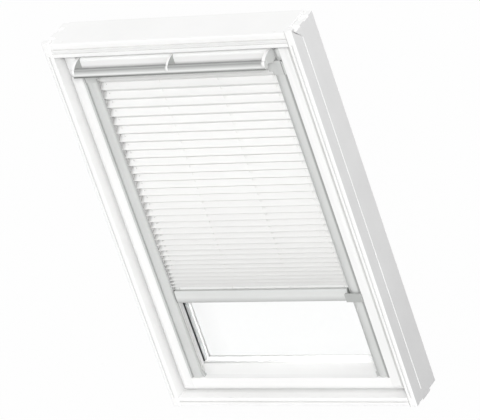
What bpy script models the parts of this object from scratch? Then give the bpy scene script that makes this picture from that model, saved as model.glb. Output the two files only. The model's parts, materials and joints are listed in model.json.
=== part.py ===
"""Centre-pivot roof window with its pleated blind, upright, seen from the room along +Y.

X runs to the right, Z up the slope, Y outwards; the origin is the middle of the sill's underside.
Every piece is a closed solid of its own, and touching pieces keep a small assembly gap.
"""
import math

import bmesh
import bpy
from mathutils import Matrix

# Outer frame
FRAME_W = 0.780
FRAME_H = 1.180
FRAME_D = 0.124
JAMB_W = 0.0233
SILL_TOP = 0.0313
SILL_LIFT = 0.008
HEAD_EDGE_DROP = 0.0484
HEAD_TOP_DROP = 0.006
HEAD_BAND_H = 0.0134
HEAD_STEP_H = 0.0137
HEAD_STEP_DEPTH = 0.003
GROOVE_IN = 0.0115
GROOVE_W = 0.003
GROOVE_DEPTH = 0.005
SIDE_GROOVE_AT = 0.0455
SIDE_GROOVE_W = 0.002
SILL_DRIP = 0.006
HEAD_SET_BACK = 0.002
EDGE_ROUND = 0.003
CORNER_PLAIN = 0.033
CORNER_PLAIN_TOP = 0.043
PLUG_IN = 0.058
PLUG_DEPTH = 0.0145
PLUG_R = 0.004
PLUG_H = 0.0025
HEEL_FROM = 0.038
HEEL_IN = 0.038
FOOT_FRONT_RISE = 0.004
FOOT_RISE = 0.006
FOOT_BACK_RISE = 0.007
END_STEP_FRONT = (0.017, 0.047)
END_STEP_BACK = (0.051, 0.025)
END_STEP_DROP = (0.014, 0.009, 0.013, 0.009)
GAP = 0.0003
PAST = 0.01

# Sash
SASH_FRONT = 0.0255
SASH_BACK_IN = 0.008
SASH_CLEAR = 0.005
STILE_FACE_IN = 0.0437
STILE_LIP_IN = 0.0612
RAIL_TENON = 0.006
BOTTOM_FACE_TOP = 0.0816
BOTTOM_LIP = 0.093
TOP_FRONT = 0.046
TOP_FACE_DROP = 0.108
TOP_LIP_DROP = 0.117
STRAIGHT_REVEAL = 0.021
SHOULDER_X = 0.0217
SHOULDER_Y = 0.023
LIP_T = 0.002
REBATE_W = 0.014
PIVOT_IN = 0.049

# Glazing
GLASS_IN = 0.038
PANE_T = 0.004
PANE_CAVITY = 0.016
PANE_CLEAR = 0.001
GASKET_SHOW = 0.004
SPACER_W = 0.020
SPACER_IN = 0.002

# Pivot hinges, seals and lock
HINGE_H = 0.120
HINGE_D = 0.036
HINGE_T = 0.0022
PIVOT_R = 0.006
PIVOT_LEN = 0.016
PIVOT_CLEAR = 0.0005
PLATE_ROUND = 0.006
SCREW_R = 0.0035
SCREW_T = 0.0009
SCREW_IN = (0.012, 0.034)
SEAL_IN = 0.024
SEAL_D = 0.006
SEAL_T = 0.003
SEAL_SLOPE = 0.0015
LOCK_W = 0.050
LOCK_FROM_IN = 0.064
LOCK_TO_IN = 0.016
LOCK_DEEP = 0.028
LOCK_HOOK_T = 0.006
LOCK_PIN_R = 0.003
LOCK_AXIS_IN = 0.044
LOCK_AXIS_DOWN = 0.015
LOCK_POCKET_FRONT = 0.014
LOCK_POCKET_BACK = 0.018
HOOK_REACH = 0.024
HOOK_W = 0.009
STRIKER_T = 0.0025
POCKET_HALF = 0.016
POCKET_ABOVE = 0.006
CASE_WALL = 0.003
SLOT_CLEAR = 0.0005
HOOK_TIP = (0.004, 0.005, 0.007)

# Outside covers
COVER_T = 0.0025
COVER_LAP = 0.0035
COVER_EDGE = 0.004
JAMB_COVER_IN = 0.002
JAMB_COVER_RISE = 0.010
SILL_COVER_RISE = 0.009
SILL_COVER_DROP = 0.008
HOOD_TOP_DROP = 0.011
HOOD_DROP = 0.070

# Blind
RAIL_W = 0.039
RAIL_BACK = 0.0457
RAIL_LIP_W = 0.0058
RAIL_FACE = ((0.0074, 0.0309), (0.0078, 0.0294), (0.0125, 0.0280), (0.0208, 0.0273), (0.0275, 0.0283),
             (0.0325, 0.0306), (0.0347, 0.0328), (0.0350, 0.0347), (0.0362, 0.0347))
RAIL_EDGE = 0.0333
RAIL_EDGE_W = 0.0028
RAIL_GROOVE_D = 0.0055
RAIL_SLOT_FROM = 0.0365
RAIL_SLOT_TO = 0.0437
RAIL_SLOT_DEEP = 0.027
HEAD_RAIL_H = 0.0313
HEAD_RAIL_DROP = 0.0997
ELBOW_LEG = 0.011
ELBOW_ROUND = 0.009
ELBOW_WEB = 0.006
ELBOW_BACKSET = 0.0005
CLOTH_DEPTH = 0.040
CLOTH_T = 0.0006
PLEATS = 33
PANEL = 0.020
PITCH_TOP = 0.0287
PITCH_END = 0.0117
FIRST_FOLD_DROP = 0.0051
LAST_FOLD_DROP = 0.0050
SIDE_CLEAR = 0.0015
BAR_H = 0.038
BAR_FRONT = 0.028
BAR_BACK = 0.050
BAR_CAP_T = 0.003
BAR_BULGE = 0.0028
BAR_FACETS = 10
SLIDER_H = 0.0255
SLIDER_T = 0.0060
SLIDER_OUT = 0.0065
SLIDER_LAP = 0.0105
SLIDER_RISE = 0.0025
GLIDE_H = 0.026
GLIDE_LEN = 0.024
GLIDE_RISE = 0.006
GLIDE_CLEAR = 0.0005
CORD_R = 0.0006
CORD_IN = 0.0239
CLIP_H = 0.012
CLIP_IN = 0.0262
CLIP_TIP_H = 0.0155
CLIP_TIP_T = 0.0029
CLIP_TIP_FRONT = 0.0315
CLIP_TIP_BACK = 0.0442
CLIP_FOOT_H = 0.004

# Hollow bars, and the ventilation flap with its control bar
TUBE_WALL = 0.0015
FLAP_CLEAR = 0.016
CHEEK_T = 0.010
CHEEK_BACK = 0.024
MID_FIN_T = 0.007
FLAP_AXIS_DEPTH = 0.018
FLAP_AXIS_DROP = 0.067
FLAP_FACE = 0.007
FLAP_T = 0.0035
FLAP_LOW_DROP = 0.094
FLAP_TOP_DROP = 0.056
FLAP_CURL = 0.010
FLAP_BACK = 0.020
GRIP_FRONT = -0.034
GRIP_D = 0.0135
GRIP_LOW_DROP = 0.0905
GRIP_TOP_DROP = 0.069
GRIP_CAP_T = 0.003
GRIP_ROUND = (0.007, 0.010)
GRIP_LOW_ROUND = (0.004, 0.003)
FIN_ARCH = ((-0.019, 0.006), (-0.008, 0.0022), (0.002, 0.0002))
FIN_TOE = ((0.006, 0.0003), (0.010, 0.0040))
FIN_HEEL = ((-0.010, 0.005), (-0.0202, 0.008))
FIN_LIFT = 0.004
FLAP_PIN_R = 0.0025
FLAP_PIN_LEN = 0.009
BRACKET_T = 0.004
BRACKET_EYE = 0.005
BRACKET_CLEAR = 0.003
BRACKET_FOOT_T = 0.006
BRACKET_FOOT_H = 0.012
FILTER_DOWN = 0.030
FILTER_H = 0.015
FILTER_D = 0.008
FILTER_IN = 0.032

# Worked out from the sizes above
HALF_W = FRAME_W / 2
HEEL_TO = FRAME_D - HEEL_IN
END_STEP_AT = END_STEP_FRONT + (FRAME_D - END_STEP_BACK[0], FRAME_D - END_STEP_BACK[1])
SASH_BACK = FRAME_D - SASH_BACK_IN
TOP_FACE_LOW = FRAME_H - TOP_FACE_DROP
TOP_LIP = FRAME_H - TOP_LIP_DROP
PIVOT_DEPTH = FRAME_D - PIVOT_IN
GLASS_FRONT = FRAME_D - GLASS_IN
SEAL_AT = FRAME_D - SEAL_IN
LOCK_FROM = FRAME_D - LOCK_FROM_IN
LOCK_TO = FRAME_D - LOCK_TO_IN
LOCK_AXIS_DEPTH = FRAME_D - LOCK_AXIS_IN
HEAD_RAIL_TOP = FRAME_H - HEAD_RAIL_DROP
FLAP_LOW = FRAME_H - FLAP_LOW_DROP
FLAP_TOP = FRAME_H - FLAP_TOP_DROP
GRIP_LOW = FRAME_H - GRIP_LOW_DROP
GRIP_TOP = FRAME_H - GRIP_TOP_DROP
INNER_X = HALF_W - JAMB_W
HEAD_LOW = FRAME_H - HEAD_EDGE_DROP
SASH_X = INNER_X - SASH_CLEAR
SASH_LOW = SILL_TOP + SASH_CLEAR
SASH_TOP = HEAD_LOW - SASH_CLEAR
PIVOT_Z = (SASH_LOW + SASH_TOP) / 2
STILE_FACE_EDGE = SASH_X - STILE_FACE_IN
STILE_LIP = SASH_X - STILE_LIP_IN
FLAP_HALF = STILE_FACE_EDGE - FLAP_CLEAR
FILTER_HALF = FLAP_HALF - FILTER_IN
REBATE_FLOOR = GLASS_FRONT - LIP_T
GLASS_X = STILE_LIP + REBATE_W - PANE_CLEAR
GLASS_LOW = BOTTOM_LIP - REBATE_W + PANE_CLEAR
GLASS_TOP = TOP_LIP + REBATE_W - PANE_CLEAR
OUTER_PANE = GLASS_FRONT + PANE_T + PANE_CAVITY
GLASS_BACK = OUTER_PANE + PANE_T
RAIL_OUT = STILE_FACE_EDGE - GAP
RAIL_IN = RAIL_OUT - RAIL_W
HEAD_RAIL_LOW = HEAD_RAIL_TOP - HEAD_RAIL_H
ELBOW_LOW = HEAD_RAIL_LOW - ELBOW_LEG
RAIL_LOW = BOTTOM_FACE_TOP + GAP
BAR_HALF = RAIL_IN - SIDE_CLEAR
PITCH_SUM = PLEATS * (PITCH_TOP + PITCH_END) / 2
BAR_TOP = HEAD_RAIL_LOW - FIRST_FOLD_DROP - PITCH_SUM - PITCH_END / 2 - LAST_FOLD_DROP
BAR_LOW = BAR_TOP - BAR_H
FLAP_AXIS_Z = FRAME_H - FLAP_AXIS_DROP
LOCK_AXIS_Z = SASH_TOP - LOCK_AXIS_DOWN


def y_at(depth):
    """Y of a depth measured outwards from the frame's room face."""
    return depth - FRAME_D / 2


def at_depth(points):
    """Turn (depth, z) pairs into (y, z) pairs."""
    return [(y_at(depth), z) for depth, z in points]


def across(points):
    """Turn (x, depth) pairs into (x, y) pairs."""
    return [(x, y_at(depth)) for x, depth in points]


def mirrored(points):
    """The same outline on the other side of the YZ plane."""
    return [(-x, y) for x, y in reversed(points)]


def arc(centre, radii, start_deg, end_deg, steps):
    """Points along an ellipse's arc, both ends included."""
    points = []
    for i in range(steps + 1):
        angle = math.radians(start_deg + (end_deg - start_deg) * i / steps)
        points.append((centre[0] + radii[0] * math.cos(angle), centre[1] + radii[1] * math.sin(angle)))
    return points


def rounded_box(low, high, radius, steps=3):
    """A rectangle's outline with four round corners, counter-clockwise."""
    points = []
    corners = ((high[0] - radius, low[1] + radius, -90), (high[0] - radius, high[1] - radius, 0),
               (low[0] + radius, high[1] - radius, 90), (low[0] + radius, low[1] + radius, 180))
    for x, y, start in corners:
        points += arc((x, y), (radius, radius), start, start + 90, steps)
    return points


def signed_area(points):
    """Twice the area inside an outline, positive when it runs counter-clockwise."""
    return sum(a[0] * b[1] - b[0] * a[1] for a, b in zip(points, points[1:] + points[:1]))


def offset(points, distance):
    """The outline moved outwards by a distance, with mitred corners."""
    if signed_area(points) < 0:
        points = points[::-1]
    grown = []
    for before, here, after in zip(points[-1:] + points[:-1], points, points[1:] + points[:1]):
        first = (here[0] - before[0], here[1] - before[1])
        second = (after[0] - here[0], after[1] - here[1])
        n1 = (first[1] / math.hypot(*first), -first[0] / math.hypot(*first))
        n2 = (second[1] / math.hypot(*second), -second[0] / math.hypot(*second))
        scale = distance / (1 + n1[0] * n2[0] + n1[1] * n2[1])
        grown.append((here[0] + (n1[0] + n2[0]) * scale, here[1] + (n1[1] + n2[1]) * scale))
    return grown


def thickened(line, thickness):
    """A closed outline round an open line, with the same thickness along it and mitred corners."""
    sides = ([], [])
    for i, here in enumerate(line):
        before, after = line[max(i - 1, 0)], line[min(i + 1, len(line) - 1)]
        normals = [((b[1] - a[1]) / math.dist(a, b), (a[0] - b[0]) / math.dist(a, b))
                   for a, b in ((before, here), (here, after)) if a != b]
        n1, n2 = normals[0], normals[-1]
        scale = thickness / 2 / (1 + n1[0] * n2[0] + n1[1] * n2[1])
        for side, sign in zip(sides, (1, -1)):
            side.append((here[0] + sign * (n1[0] + n2[0]) * scale, here[1] + sign * (n1[1] + n2[1]) * scale))
    return sides[0] + sides[1][::-1]


def prism(points, axis, start, end):
    """A closed outline drawn across an axis and extruded along it."""
    order = {"X": lambda a, b, t: (t, a, b), "Y": lambda a, b, t: (a, t, b), "Z": lambda a, b, t: (a, b, t)}
    if (signed_area(points) < 0) != (axis == "Y"):
        points = points[::-1]
    bm = bmesh.new()
    low = [bm.verts.new(order[axis](a, b, min(start, end))) for a, b in points]
    high = [bm.verts.new(order[axis](a, b, max(start, end))) for a, b in points]
    bm.faces.new(low[::-1])
    bm.faces.new(high)
    for i in range(len(points)):
        j = (i + 1) % len(points)
        bm.faces.new((low[i], low[j], high[j], high[i]))
    return bm


def block(x, depth, z):
    """A box from its (low, high) pairs in X, depth and Z."""
    outline = [(x[0], z[0]), (x[1], z[0]), (x[1], z[1]), (x[0], z[1])]
    return prism(outline, "Y", y_at(depth[0]), y_at(depth[1]))


def rod(axis, centre, radius, start, end, sides=12):
    """A round bar along an axis; its centre is the pair of the two other coordinates."""
    return prism(arc(centre, (radius, radius), 0, 360 - 360 / sides, sides - 1), axis, start, end)


def frame_ring(half_x, z, section):
    """A section of (inset, depth) points swept round a rectangle, mitred at its corners."""
    bm = bmesh.new()
    loops = []
    for side_x, side_z in ((-1, 0), (1, 0), (1, 1), (-1, 1)):
        loop = []
        for inset, depth in section:
            height = z[1] - inset if side_z else z[0] + inset
            loop.append(bm.verts.new((side_x * (half_x - inset), y_at(depth), height)))
        loops.append(loop)
    for here, after in zip(loops, loops[1:] + loops[:1]):
        for i in range(len(section)):
            j = (i + 1) % len(section)
            bm.faces.new((here[i], after[i], after[j], here[j]))
    bmesh.ops.recalc_face_normals(bm, faces=bm.faces)
    return bm


for old in list(bpy.data.objects):
    bpy.data.objects.remove(old, do_unlink=True)

PIVOTS = {}


def pivot(name, place, parent=None):
    """An empty on a joint's axis, which the moving pieces hang from."""
    empty = bpy.data.objects.new(name, None)
    bpy.context.scene.collection.objects.link(empty)
    base = PIVOTS[parent.name] if parent else (0, 0, 0)
    empty.parent = parent
    empty.location = [a - b for a, b in zip(place, base)]
    empty.empty_display_size = 0.05
    PIVOTS[name] = place
    return empty


def finish(name, colour, roughness, metallic=0.0, alpha=1.0):
    """A Principled material with one plain finish."""
    material = bpy.data.materials.new(name)
    material.use_nodes = True
    shader = material.node_tree.nodes["Principled BSDF"]
    shader.inputs["Base Color"].default_value = (*colour, 1.0)
    shader.inputs["Roughness"].default_value = roughness
    shader.inputs["Metallic"].default_value = metallic
    shader.inputs["Alpha"].default_value = alpha
    return material


def piece(name, bm, material, parent=None, smooth_deg=None):
    """One solid as an object, its origin in its middle, or on its parent's axis."""
    lows = [min(v.co[i] for v in bm.verts) for i in range(3)]
    highs = [max(v.co[i] for v in bm.verts) for i in range(3)]
    if parent:
        origin = PIVOTS[parent.name]
    else:
        origin = [(a + b) / 2 for a, b in zip(lows, highs)]
    bm.transform(Matrix.Translation([-c for c in origin]))
    mesh = bpy.data.meshes.new(name)
    bm.to_mesh(mesh)
    bm.free()
    if smooth_deg:
        mesh.shade_smooth()
        mesh.set_sharp_from_angle(angle=math.radians(smooth_deg))
    if material:
        mesh.materials.append(material)
    obj = bpy.data.objects.new(name, mesh)
    bpy.context.scene.collection.objects.link(obj)
    obj.parent = parent
    obj.location = (0, 0, 0) if parent else origin
    return obj


def cut(obj, bm, operation="DIFFERENCE"):
    """Cut a shape out of a piece, or add it, with a hidden cutter."""
    cutter = piece(obj.name + "_cutter", bm, None, obj.parent)
    cutter.hide_render = True
    cutter.display_type = "WIRE"
    modifier = obj.modifiers.new("cut", "BOOLEAN")
    modifier.solver = "EXACT"
    modifier.operation = operation
    modifier.object = cutter


SIDES = (("left", -1), ("right", 1))

sash_pivot = pivot("sash_pivot", (0, y_at(PIVOT_DEPTH), PIVOT_Z))
flap_pivot = pivot("control_bar_pivot", (0, y_at(FLAP_AXIS_DEPTH), FLAP_AXIS_Z), sash_pivot)
lock_pivot = pivot("lock_pivot", (0, y_at(LOCK_AXIS_DEPTH), LOCK_AXIS_Z), sash_pivot)
blind_slide = pivot("blind_slide", (0, y_at(CLOTH_DEPTH), BAR_TOP), sash_pivot)

white_frame = finish("white_frame", (0.86, 0.86, 0.85), 0.35)
white_sash = finish("white_sash", (0.87, 0.87, 0.86), 0.32)
white_plastic = finish("white_plastic", (0.85, 0.85, 0.84), 0.4)
anodised = finish("anodised_aluminium", (0.63, 0.65, 0.64), 0.35, 0.8)
grey_plastic = finish("grey_plastic", (0.45, 0.46, 0.45), 0.5)
dark_rubber = finish("dark_rubber", (0.05, 0.05, 0.05), 0.8)
steel = finish("zinc_steel", (0.55, 0.55, 0.56), 0.35, 1.0)
grey_cover = finish("grey_cover", (0.16, 0.17, 0.18), 0.45, 0.3)
glass = finish("clear_glass", (0.92, 0.96, 0.95), 0.03, 0.0, 0.3)
cloth = finish("pleated_cloth", (0.83, 0.83, 0.79), 0.9)
cord_white = finish("cord_white", (0.8, 0.8, 0.78), 0.8)
foam = finish("filter_foam", (0.25, 0.26, 0.27), 0.95)


# Outer frame: two full-height jambs with a head and a sill between them
def end_notches():
    """Boxes of (depth, z) cut from a jamb's ends, which leave them stepped in depth."""
    foot_from = (-PAST, END_STEP_AT[0], HEEL_TO)
    foot_to = (END_STEP_AT[0], HEEL_FROM, FRAME_D + PAST)
    for start, end, rise in zip(foot_from, foot_to, (FOOT_FRONT_RISE, FOOT_RISE, FOOT_BACK_RISE)):
        yield (start, end), (-PAST, rise)
    for start, end, drop in zip(END_STEP_AT, END_STEP_AT[1:] + (FRAME_D + PAST,), END_STEP_DROP):
        yield (start, end), (FRAME_H - drop, FRAME_H + PAST)


def frame_jamb(side, sign):
    outer, inner = sign * HALF_W, sign * INNER_X
    outline = across([(outer, EDGE_ROUND), (outer - sign * EDGE_ROUND, 0), (inner + sign * EDGE_ROUND, 0),
                      (inner, EDGE_ROUND), (inner, FRAME_D), (outer, FRAME_D)])
    obj = piece(f"frame_jamb_{side}", prism(outline, "Z", 0, FRAME_H), white_frame)
    groove_x = sorted((outer - sign * (GROOVE_IN - GROOVE_W / 2), outer - sign * (GROOVE_IN + GROOVE_W / 2)))
    plain_top = FRAME_H - CORNER_PLAIN_TOP
    cut(obj, block(groove_x, (-PAST, GROOVE_DEPTH), (CORNER_PLAIN, plain_top)))
    side_x = sorted((outer + sign * PAST, outer - sign * SIDE_GROOVE_W))
    side_depth = (SIDE_GROOVE_AT - SIDE_GROOVE_W / 2, SIDE_GROOVE_AT + SIDE_GROOVE_W / 2)
    cut(obj, block(side_x, side_depth, (CORNER_PLAIN, plain_top)))
    for depth, z in end_notches():
        cut(obj, block((-FRAME_W, FRAME_W), depth, z))


for side_name, side_sign in SIDES:
    frame_jamb(side_name, side_sign)

groove_low = SILL_LIFT + GROOVE_IN - GROOVE_W / 2
groove_high = groove_low + GROOVE_W
sill_outline = at_depth([
    (0, SILL_LIFT), (0, groove_low), (GROOVE_DEPTH, groove_low), (GROOVE_DEPTH, groove_high), (0, groove_high),
    (0, SILL_TOP - EDGE_ROUND), (EDGE_ROUND, SILL_TOP), (SEAL_AT + SEAL_D, SILL_TOP),
    (FRAME_D, SILL_TOP - SILL_DRIP), (FRAME_D, FOOT_BACK_RISE), (HEEL_TO, FOOT_BACK_RISE), (HEEL_TO, 0),
    (HEEL_FROM, 0), (HEEL_FROM, SILL_LIFT)])
piece("frame_sill", prism(sill_outline, "X", -INNER_X + GAP, INNER_X - GAP), white_frame)

band_top = HEAD_LOW + HEAD_BAND_H
line_low = band_top + HEAD_STEP_H
head_top = FRAME_H - HEAD_TOP_DROP
head_outline = at_depth([
    (EDGE_ROUND, HEAD_LOW), (0, HEAD_LOW + EDGE_ROUND), (0, band_top), (HEAD_STEP_DEPTH, band_top),
    (0, line_low - GROOVE_W), (GROOVE_DEPTH, line_low - GROOVE_W), (GROOVE_DEPTH, line_low),
    (HEAD_SET_BACK, line_low), (HEAD_SET_BACK, head_top - HEAD_SET_BACK), (2 * HEAD_SET_BACK, head_top),
    (FRAME_D, head_top),
    (FRAME_D, HEAD_LOW)])
head = piece("frame_head", prism(head_outline, "X", -INNER_X + GAP, INNER_X - GAP), white_frame)
lock_pocket = (LOCK_AXIS_DEPTH - LOCK_POCKET_FRONT, LOCK_AXIS_DEPTH + LOCK_POCKET_BACK)
pocket_top = LOCK_AXIS_Z + HOOK_REACH + POCKET_ABOVE
cut(head, block((-POCKET_HALF, POCKET_HALF), lock_pocket, (HEAD_LOW - PAST, pocket_top)))

for side_name, side_sign in SIDES:
    plug_centre = (side_sign * (HALF_W - PLUG_IN), y_at(PLUG_DEPTH))
    cut(head, rod("Z", plug_centre, PLUG_R + GAP, head_top - PLUG_H - GAP, head_top + PAST, 12))
    piece(f"head_screw_plug_{side_name}",
          rod("Z", plug_centre, PLUG_R, head_top - PLUG_H, head_top - GAP, 12), white_plastic, smooth_deg=40)

seal_section = [(GAP, SEAL_AT), (SEAL_T + GAP, SEAL_AT + SEAL_SLOPE),
                (SEAL_T + GAP, SEAL_AT + SEAL_D - SEAL_SLOPE),
                (GAP, SEAL_AT + SEAL_D)]
piece("frame_seal", frame_ring(INNER_X, (SILL_TOP, HEAD_LOW), seal_section), dark_rubber)

striker_face = lock_pocket[0] + GAP
piece("lock_striker", block((-POCKET_HALF + GAP, POCKET_HALF - GAP), (striker_face, striker_face + STRIKER_T),
                            (HEAD_LOW + GAP, pocket_top - GAP)), steel)


# Sash: full-height stiles, with the rails scribed to their moulded section
def stile_outline(sign):
    lip_face = REBATE_FLOOR - LIP_T
    shoulder = arc((SASH_X - SHOULDER_X, SASH_FRONT + SHOULDER_Y), (SHOULDER_X, SHOULDER_Y), -90, 0, 6)
    points = [(STILE_FACE_EDGE, SASH_FRONT)] + shoulder + [
        (SASH_X, SASH_BACK), (STILE_LIP + REBATE_W, SASH_BACK), (STILE_LIP + REBATE_W, REBATE_FLOOR),
        (STILE_LIP, REBATE_FLOOR), (STILE_LIP, lip_face), (STILE_FACE_EDGE, SASH_FRONT + STRAIGHT_REVEAL)]
    return across(points) if sign > 0 else mirrored(across(points))


for side_name, side_sign in SIDES:
    stile = piece(f"sash_stile_{side_name}", prism(stile_outline(side_sign), "Z", SASH_LOW, SASH_TOP),
                  white_sash, sash_pivot, smooth_deg=30)
    outer_face = side_sign * SASH_X
    seat = sorted((outer_face + side_sign * PAST, outer_face - side_sign * (HINGE_T + GAP)))
    cut(stile, block(seat, (PIVOT_DEPTH - HINGE_D / 2 - GAP, PIVOT_DEPTH + HINGE_D / 2 + GAP),
                     (PIVOT_Z - HINGE_H / 2 - GAP, PIVOT_Z + HINGE_H / 2 + GAP)))
    bore = sorted((outer_face + side_sign * PAST, side_sign * (INNER_X - PIVOT_LEN - PIVOT_CLEAR)))
    cut(stile, rod("X", (y_at(PIVOT_DEPTH), PIVOT_Z), PIVOT_R + PIVOT_CLEAR + GAP, *bore, 16))

rail_reach = STILE_FACE_EDGE + RAIL_TENON
bottom_shoulder = arc((SASH_FRONT + SHOULDER_Y, SASH_LOW + SHOULDER_X), (SHOULDER_Y, SHOULDER_X), 270, 180, 6)
bottom_outline = at_depth([
    (SASH_FRONT, BOTTOM_FACE_TOP), (SASH_FRONT + STRAIGHT_REVEAL, BOTTOM_FACE_TOP),
    (REBATE_FLOOR - LIP_T, BOTTOM_LIP), (REBATE_FLOOR, BOTTOM_LIP), (REBATE_FLOOR, BOTTOM_LIP - REBATE_W),
    (SASH_BACK, BOTTOM_LIP - REBATE_W), (SASH_BACK, SASH_LOW)] + bottom_shoulder)
bottom_rail = piece("sash_bottom_rail", prism(bottom_outline, "X", -rail_reach, rail_reach),
                    white_sash, sash_pivot, smooth_deg=30)

top_outline = at_depth([
    (TOP_FRONT, TOP_FACE_LOW), (REBATE_FLOOR - LIP_T, TOP_LIP), (REBATE_FLOOR, TOP_LIP),
    (REBATE_FLOOR, TOP_LIP + REBATE_W), (SASH_BACK, TOP_LIP + REBATE_W), (SASH_BACK, SASH_TOP),
    (TOP_FRONT, SASH_TOP)])
top_rail = piece("sash_top_rail", prism(top_outline, "X", -rail_reach, rail_reach), white_sash, sash_pivot)

for scribed in (bottom_rail, top_rail):
    for side_sign in (-1, 1):
        cut(scribed, prism(offset(stile_outline(side_sign), GAP), "Z", -PAST, FRAME_H + PAST))

filter_low = FLAP_AXIS_Z - FILTER_DOWN
filter_box = ((-FILTER_HALF, FILTER_HALF), (TOP_FRONT, TOP_FRONT + FILTER_D), (filter_low, filter_low + FILTER_H))
cut(top_rail, block((-FILTER_HALF - GAP, FILTER_HALF + GAP), (TOP_FRONT - PAST, TOP_FRONT + FILTER_D + GAP),
                    (filter_low - GAP, filter_low + FILTER_H + GAP)))
piece("vent_filter", block(*filter_box), foam, sash_pivot)

# Lock: a steel case let into the top rail, with a slot in which the hook turns on a fixed pin
case_x = LOCK_W / 2
case_low = SASH_TOP - LOCK_DEEP
cut(top_rail, block((-case_x - GAP, case_x + GAP), (LOCK_FROM - GAP, LOCK_TO + GAP),
                    (case_low - GAP, SASH_TOP + PAST)))
lock_case = piece("lock_case", block((-case_x, case_x), (LOCK_FROM, LOCK_TO), (case_low, SASH_TOP - GAP)),
                  steel, sash_pivot)
slot_x = LOCK_HOOK_T / 2 + SLOT_CLEAR
cut(lock_case, block((-slot_x, slot_x), (LOCK_FROM + CASE_WALL, LOCK_TO - CASE_WALL / 2),
                     (case_low + CASE_WALL, SASH_TOP + PAST)))
cut(lock_case, rod("X", (y_at(LOCK_AXIS_DEPTH), LOCK_AXIS_Z), LOCK_PIN_R, -2 * slot_x, 2 * slot_x, 12), "UNION")

hook_low = LOCK_AXIS_Z - HOOK_W / 2
hook_outline = at_depth([
    (LOCK_AXIS_DEPTH - HOOK_W / 2, hook_low), (LOCK_AXIS_DEPTH + HOOK_W / 2, hook_low),
    (LOCK_AXIS_DEPTH + HOOK_W / 2, LOCK_AXIS_Z + HOOK_REACH - HOOK_TIP[0]),
    (LOCK_AXIS_DEPTH, LOCK_AXIS_Z + HOOK_REACH), (LOCK_AXIS_DEPTH - HOOK_W, LOCK_AXIS_Z + HOOK_REACH),
    (LOCK_AXIS_DEPTH - HOOK_W, LOCK_AXIS_Z + HOOK_REACH - HOOK_TIP[1]),
    (LOCK_AXIS_DEPTH - HOOK_W / 2, LOCK_AXIS_Z + HOOK_REACH - HOOK_TIP[2])])
hook = piece("lock_hook", prism(hook_outline, "X", -LOCK_HOOK_T / 2, LOCK_HOOK_T / 2), steel, lock_pivot)
cut(hook, rod("X", (y_at(LOCK_AXIS_DEPTH), LOCK_AXIS_Z), LOCK_PIN_R + GAP, -LOCK_W, LOCK_W, 12))

# Sealed double glazing on its gasket
piece("glass_inner_pane", block((-GLASS_X, GLASS_X), (GLASS_FRONT, GLASS_FRONT + PANE_T), (GLASS_LOW, GLASS_TOP)),
      glass, sash_pivot)
piece("glass_outer_pane", block((-GLASS_X, GLASS_X), (OUTER_PANE, GLASS_BACK), (GLASS_LOW, GLASS_TOP)),
      glass, sash_pivot)
spacer_from, spacer_to = GLASS_FRONT + PANE_T + GAP, OUTER_PANE - GAP
spacer_section = [(SPACER_IN, spacer_from), (SPACER_W, spacer_from), (SPACER_W, spacer_to), (SPACER_IN, spacer_to)]
piece("glass_spacer", frame_ring(GLASS_X, (GLASS_LOW, GLASS_TOP), spacer_section), anodised, sash_pivot)
gasket_section = [(PANE_CLEAR, REBATE_FLOOR + GAP), (REBATE_W + GASKET_SHOW, REBATE_FLOOR + GAP),
                  (REBATE_W + GASKET_SHOW, GLASS_FRONT - GAP), (PANE_CLEAR, GLASS_FRONT - GAP)]
piece("glazing_gasket", frame_ring(GLASS_X, (GLASS_LOW, GLASS_TOP), gasket_section), dark_rubber, sash_pivot)

# Pivot hinges: a plate and pin on each jamb, and a bored plate let into each stile
hinge_z = (PIVOT_Z - HINGE_H / 2, PIVOT_Z + HINGE_H / 2)
hinge_y = (y_at(PIVOT_DEPTH - HINGE_D / 2), y_at(PIVOT_DEPTH + HINGE_D / 2))
plate_outline = rounded_box((hinge_y[0], hinge_z[0]), (hinge_y[1], hinge_z[1]), PLATE_ROUND)
for side_name, side_sign in SIDES:
    jamb_face = side_sign * (INNER_X - GAP)
    frame_plate = piece(f"hinge_plate_frame_{side_name}",
                        prism(plate_outline, "X", *sorted((jamb_face, jamb_face - side_sign * HINGE_T))), steel)
    pin_end = sorted((jamb_face - side_sign * HINGE_T / 2, side_sign * (INNER_X - PIVOT_LEN)))
    cut(frame_plate, rod("X", (y_at(PIVOT_DEPTH), PIVOT_Z), PIVOT_R, *pin_end, 16), "UNION")
    seat_face = side_sign * (SASH_X - HINGE_T)
    sash_plate = piece(f"hinge_plate_sash_{side_name}",
                       prism(plate_outline, "X", *sorted((seat_face, side_sign * SASH_X))), steel, sash_pivot)
    cut(sash_plate, rod("X", (y_at(PIVOT_DEPTH), PIVOT_Z), PIVOT_R + PIVOT_CLEAR,
                        *sorted((seat_face - side_sign * PAST, side_sign * (SASH_X + PAST))), 16))
    plate_top = jamb_face - side_sign * HINGE_T
    head_end = sorted((plate_top + side_sign * SCREW_T, plate_top - side_sign * SCREW_T))
    for screw_in in SCREW_IN:
        for screw_z in (hinge_z[0] + screw_in, hinge_z[1] - screw_in):
            cut(frame_plate, rod("X", (y_at(PIVOT_DEPTH), screw_z), SCREW_R, *head_end, 12), "UNION")

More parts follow.
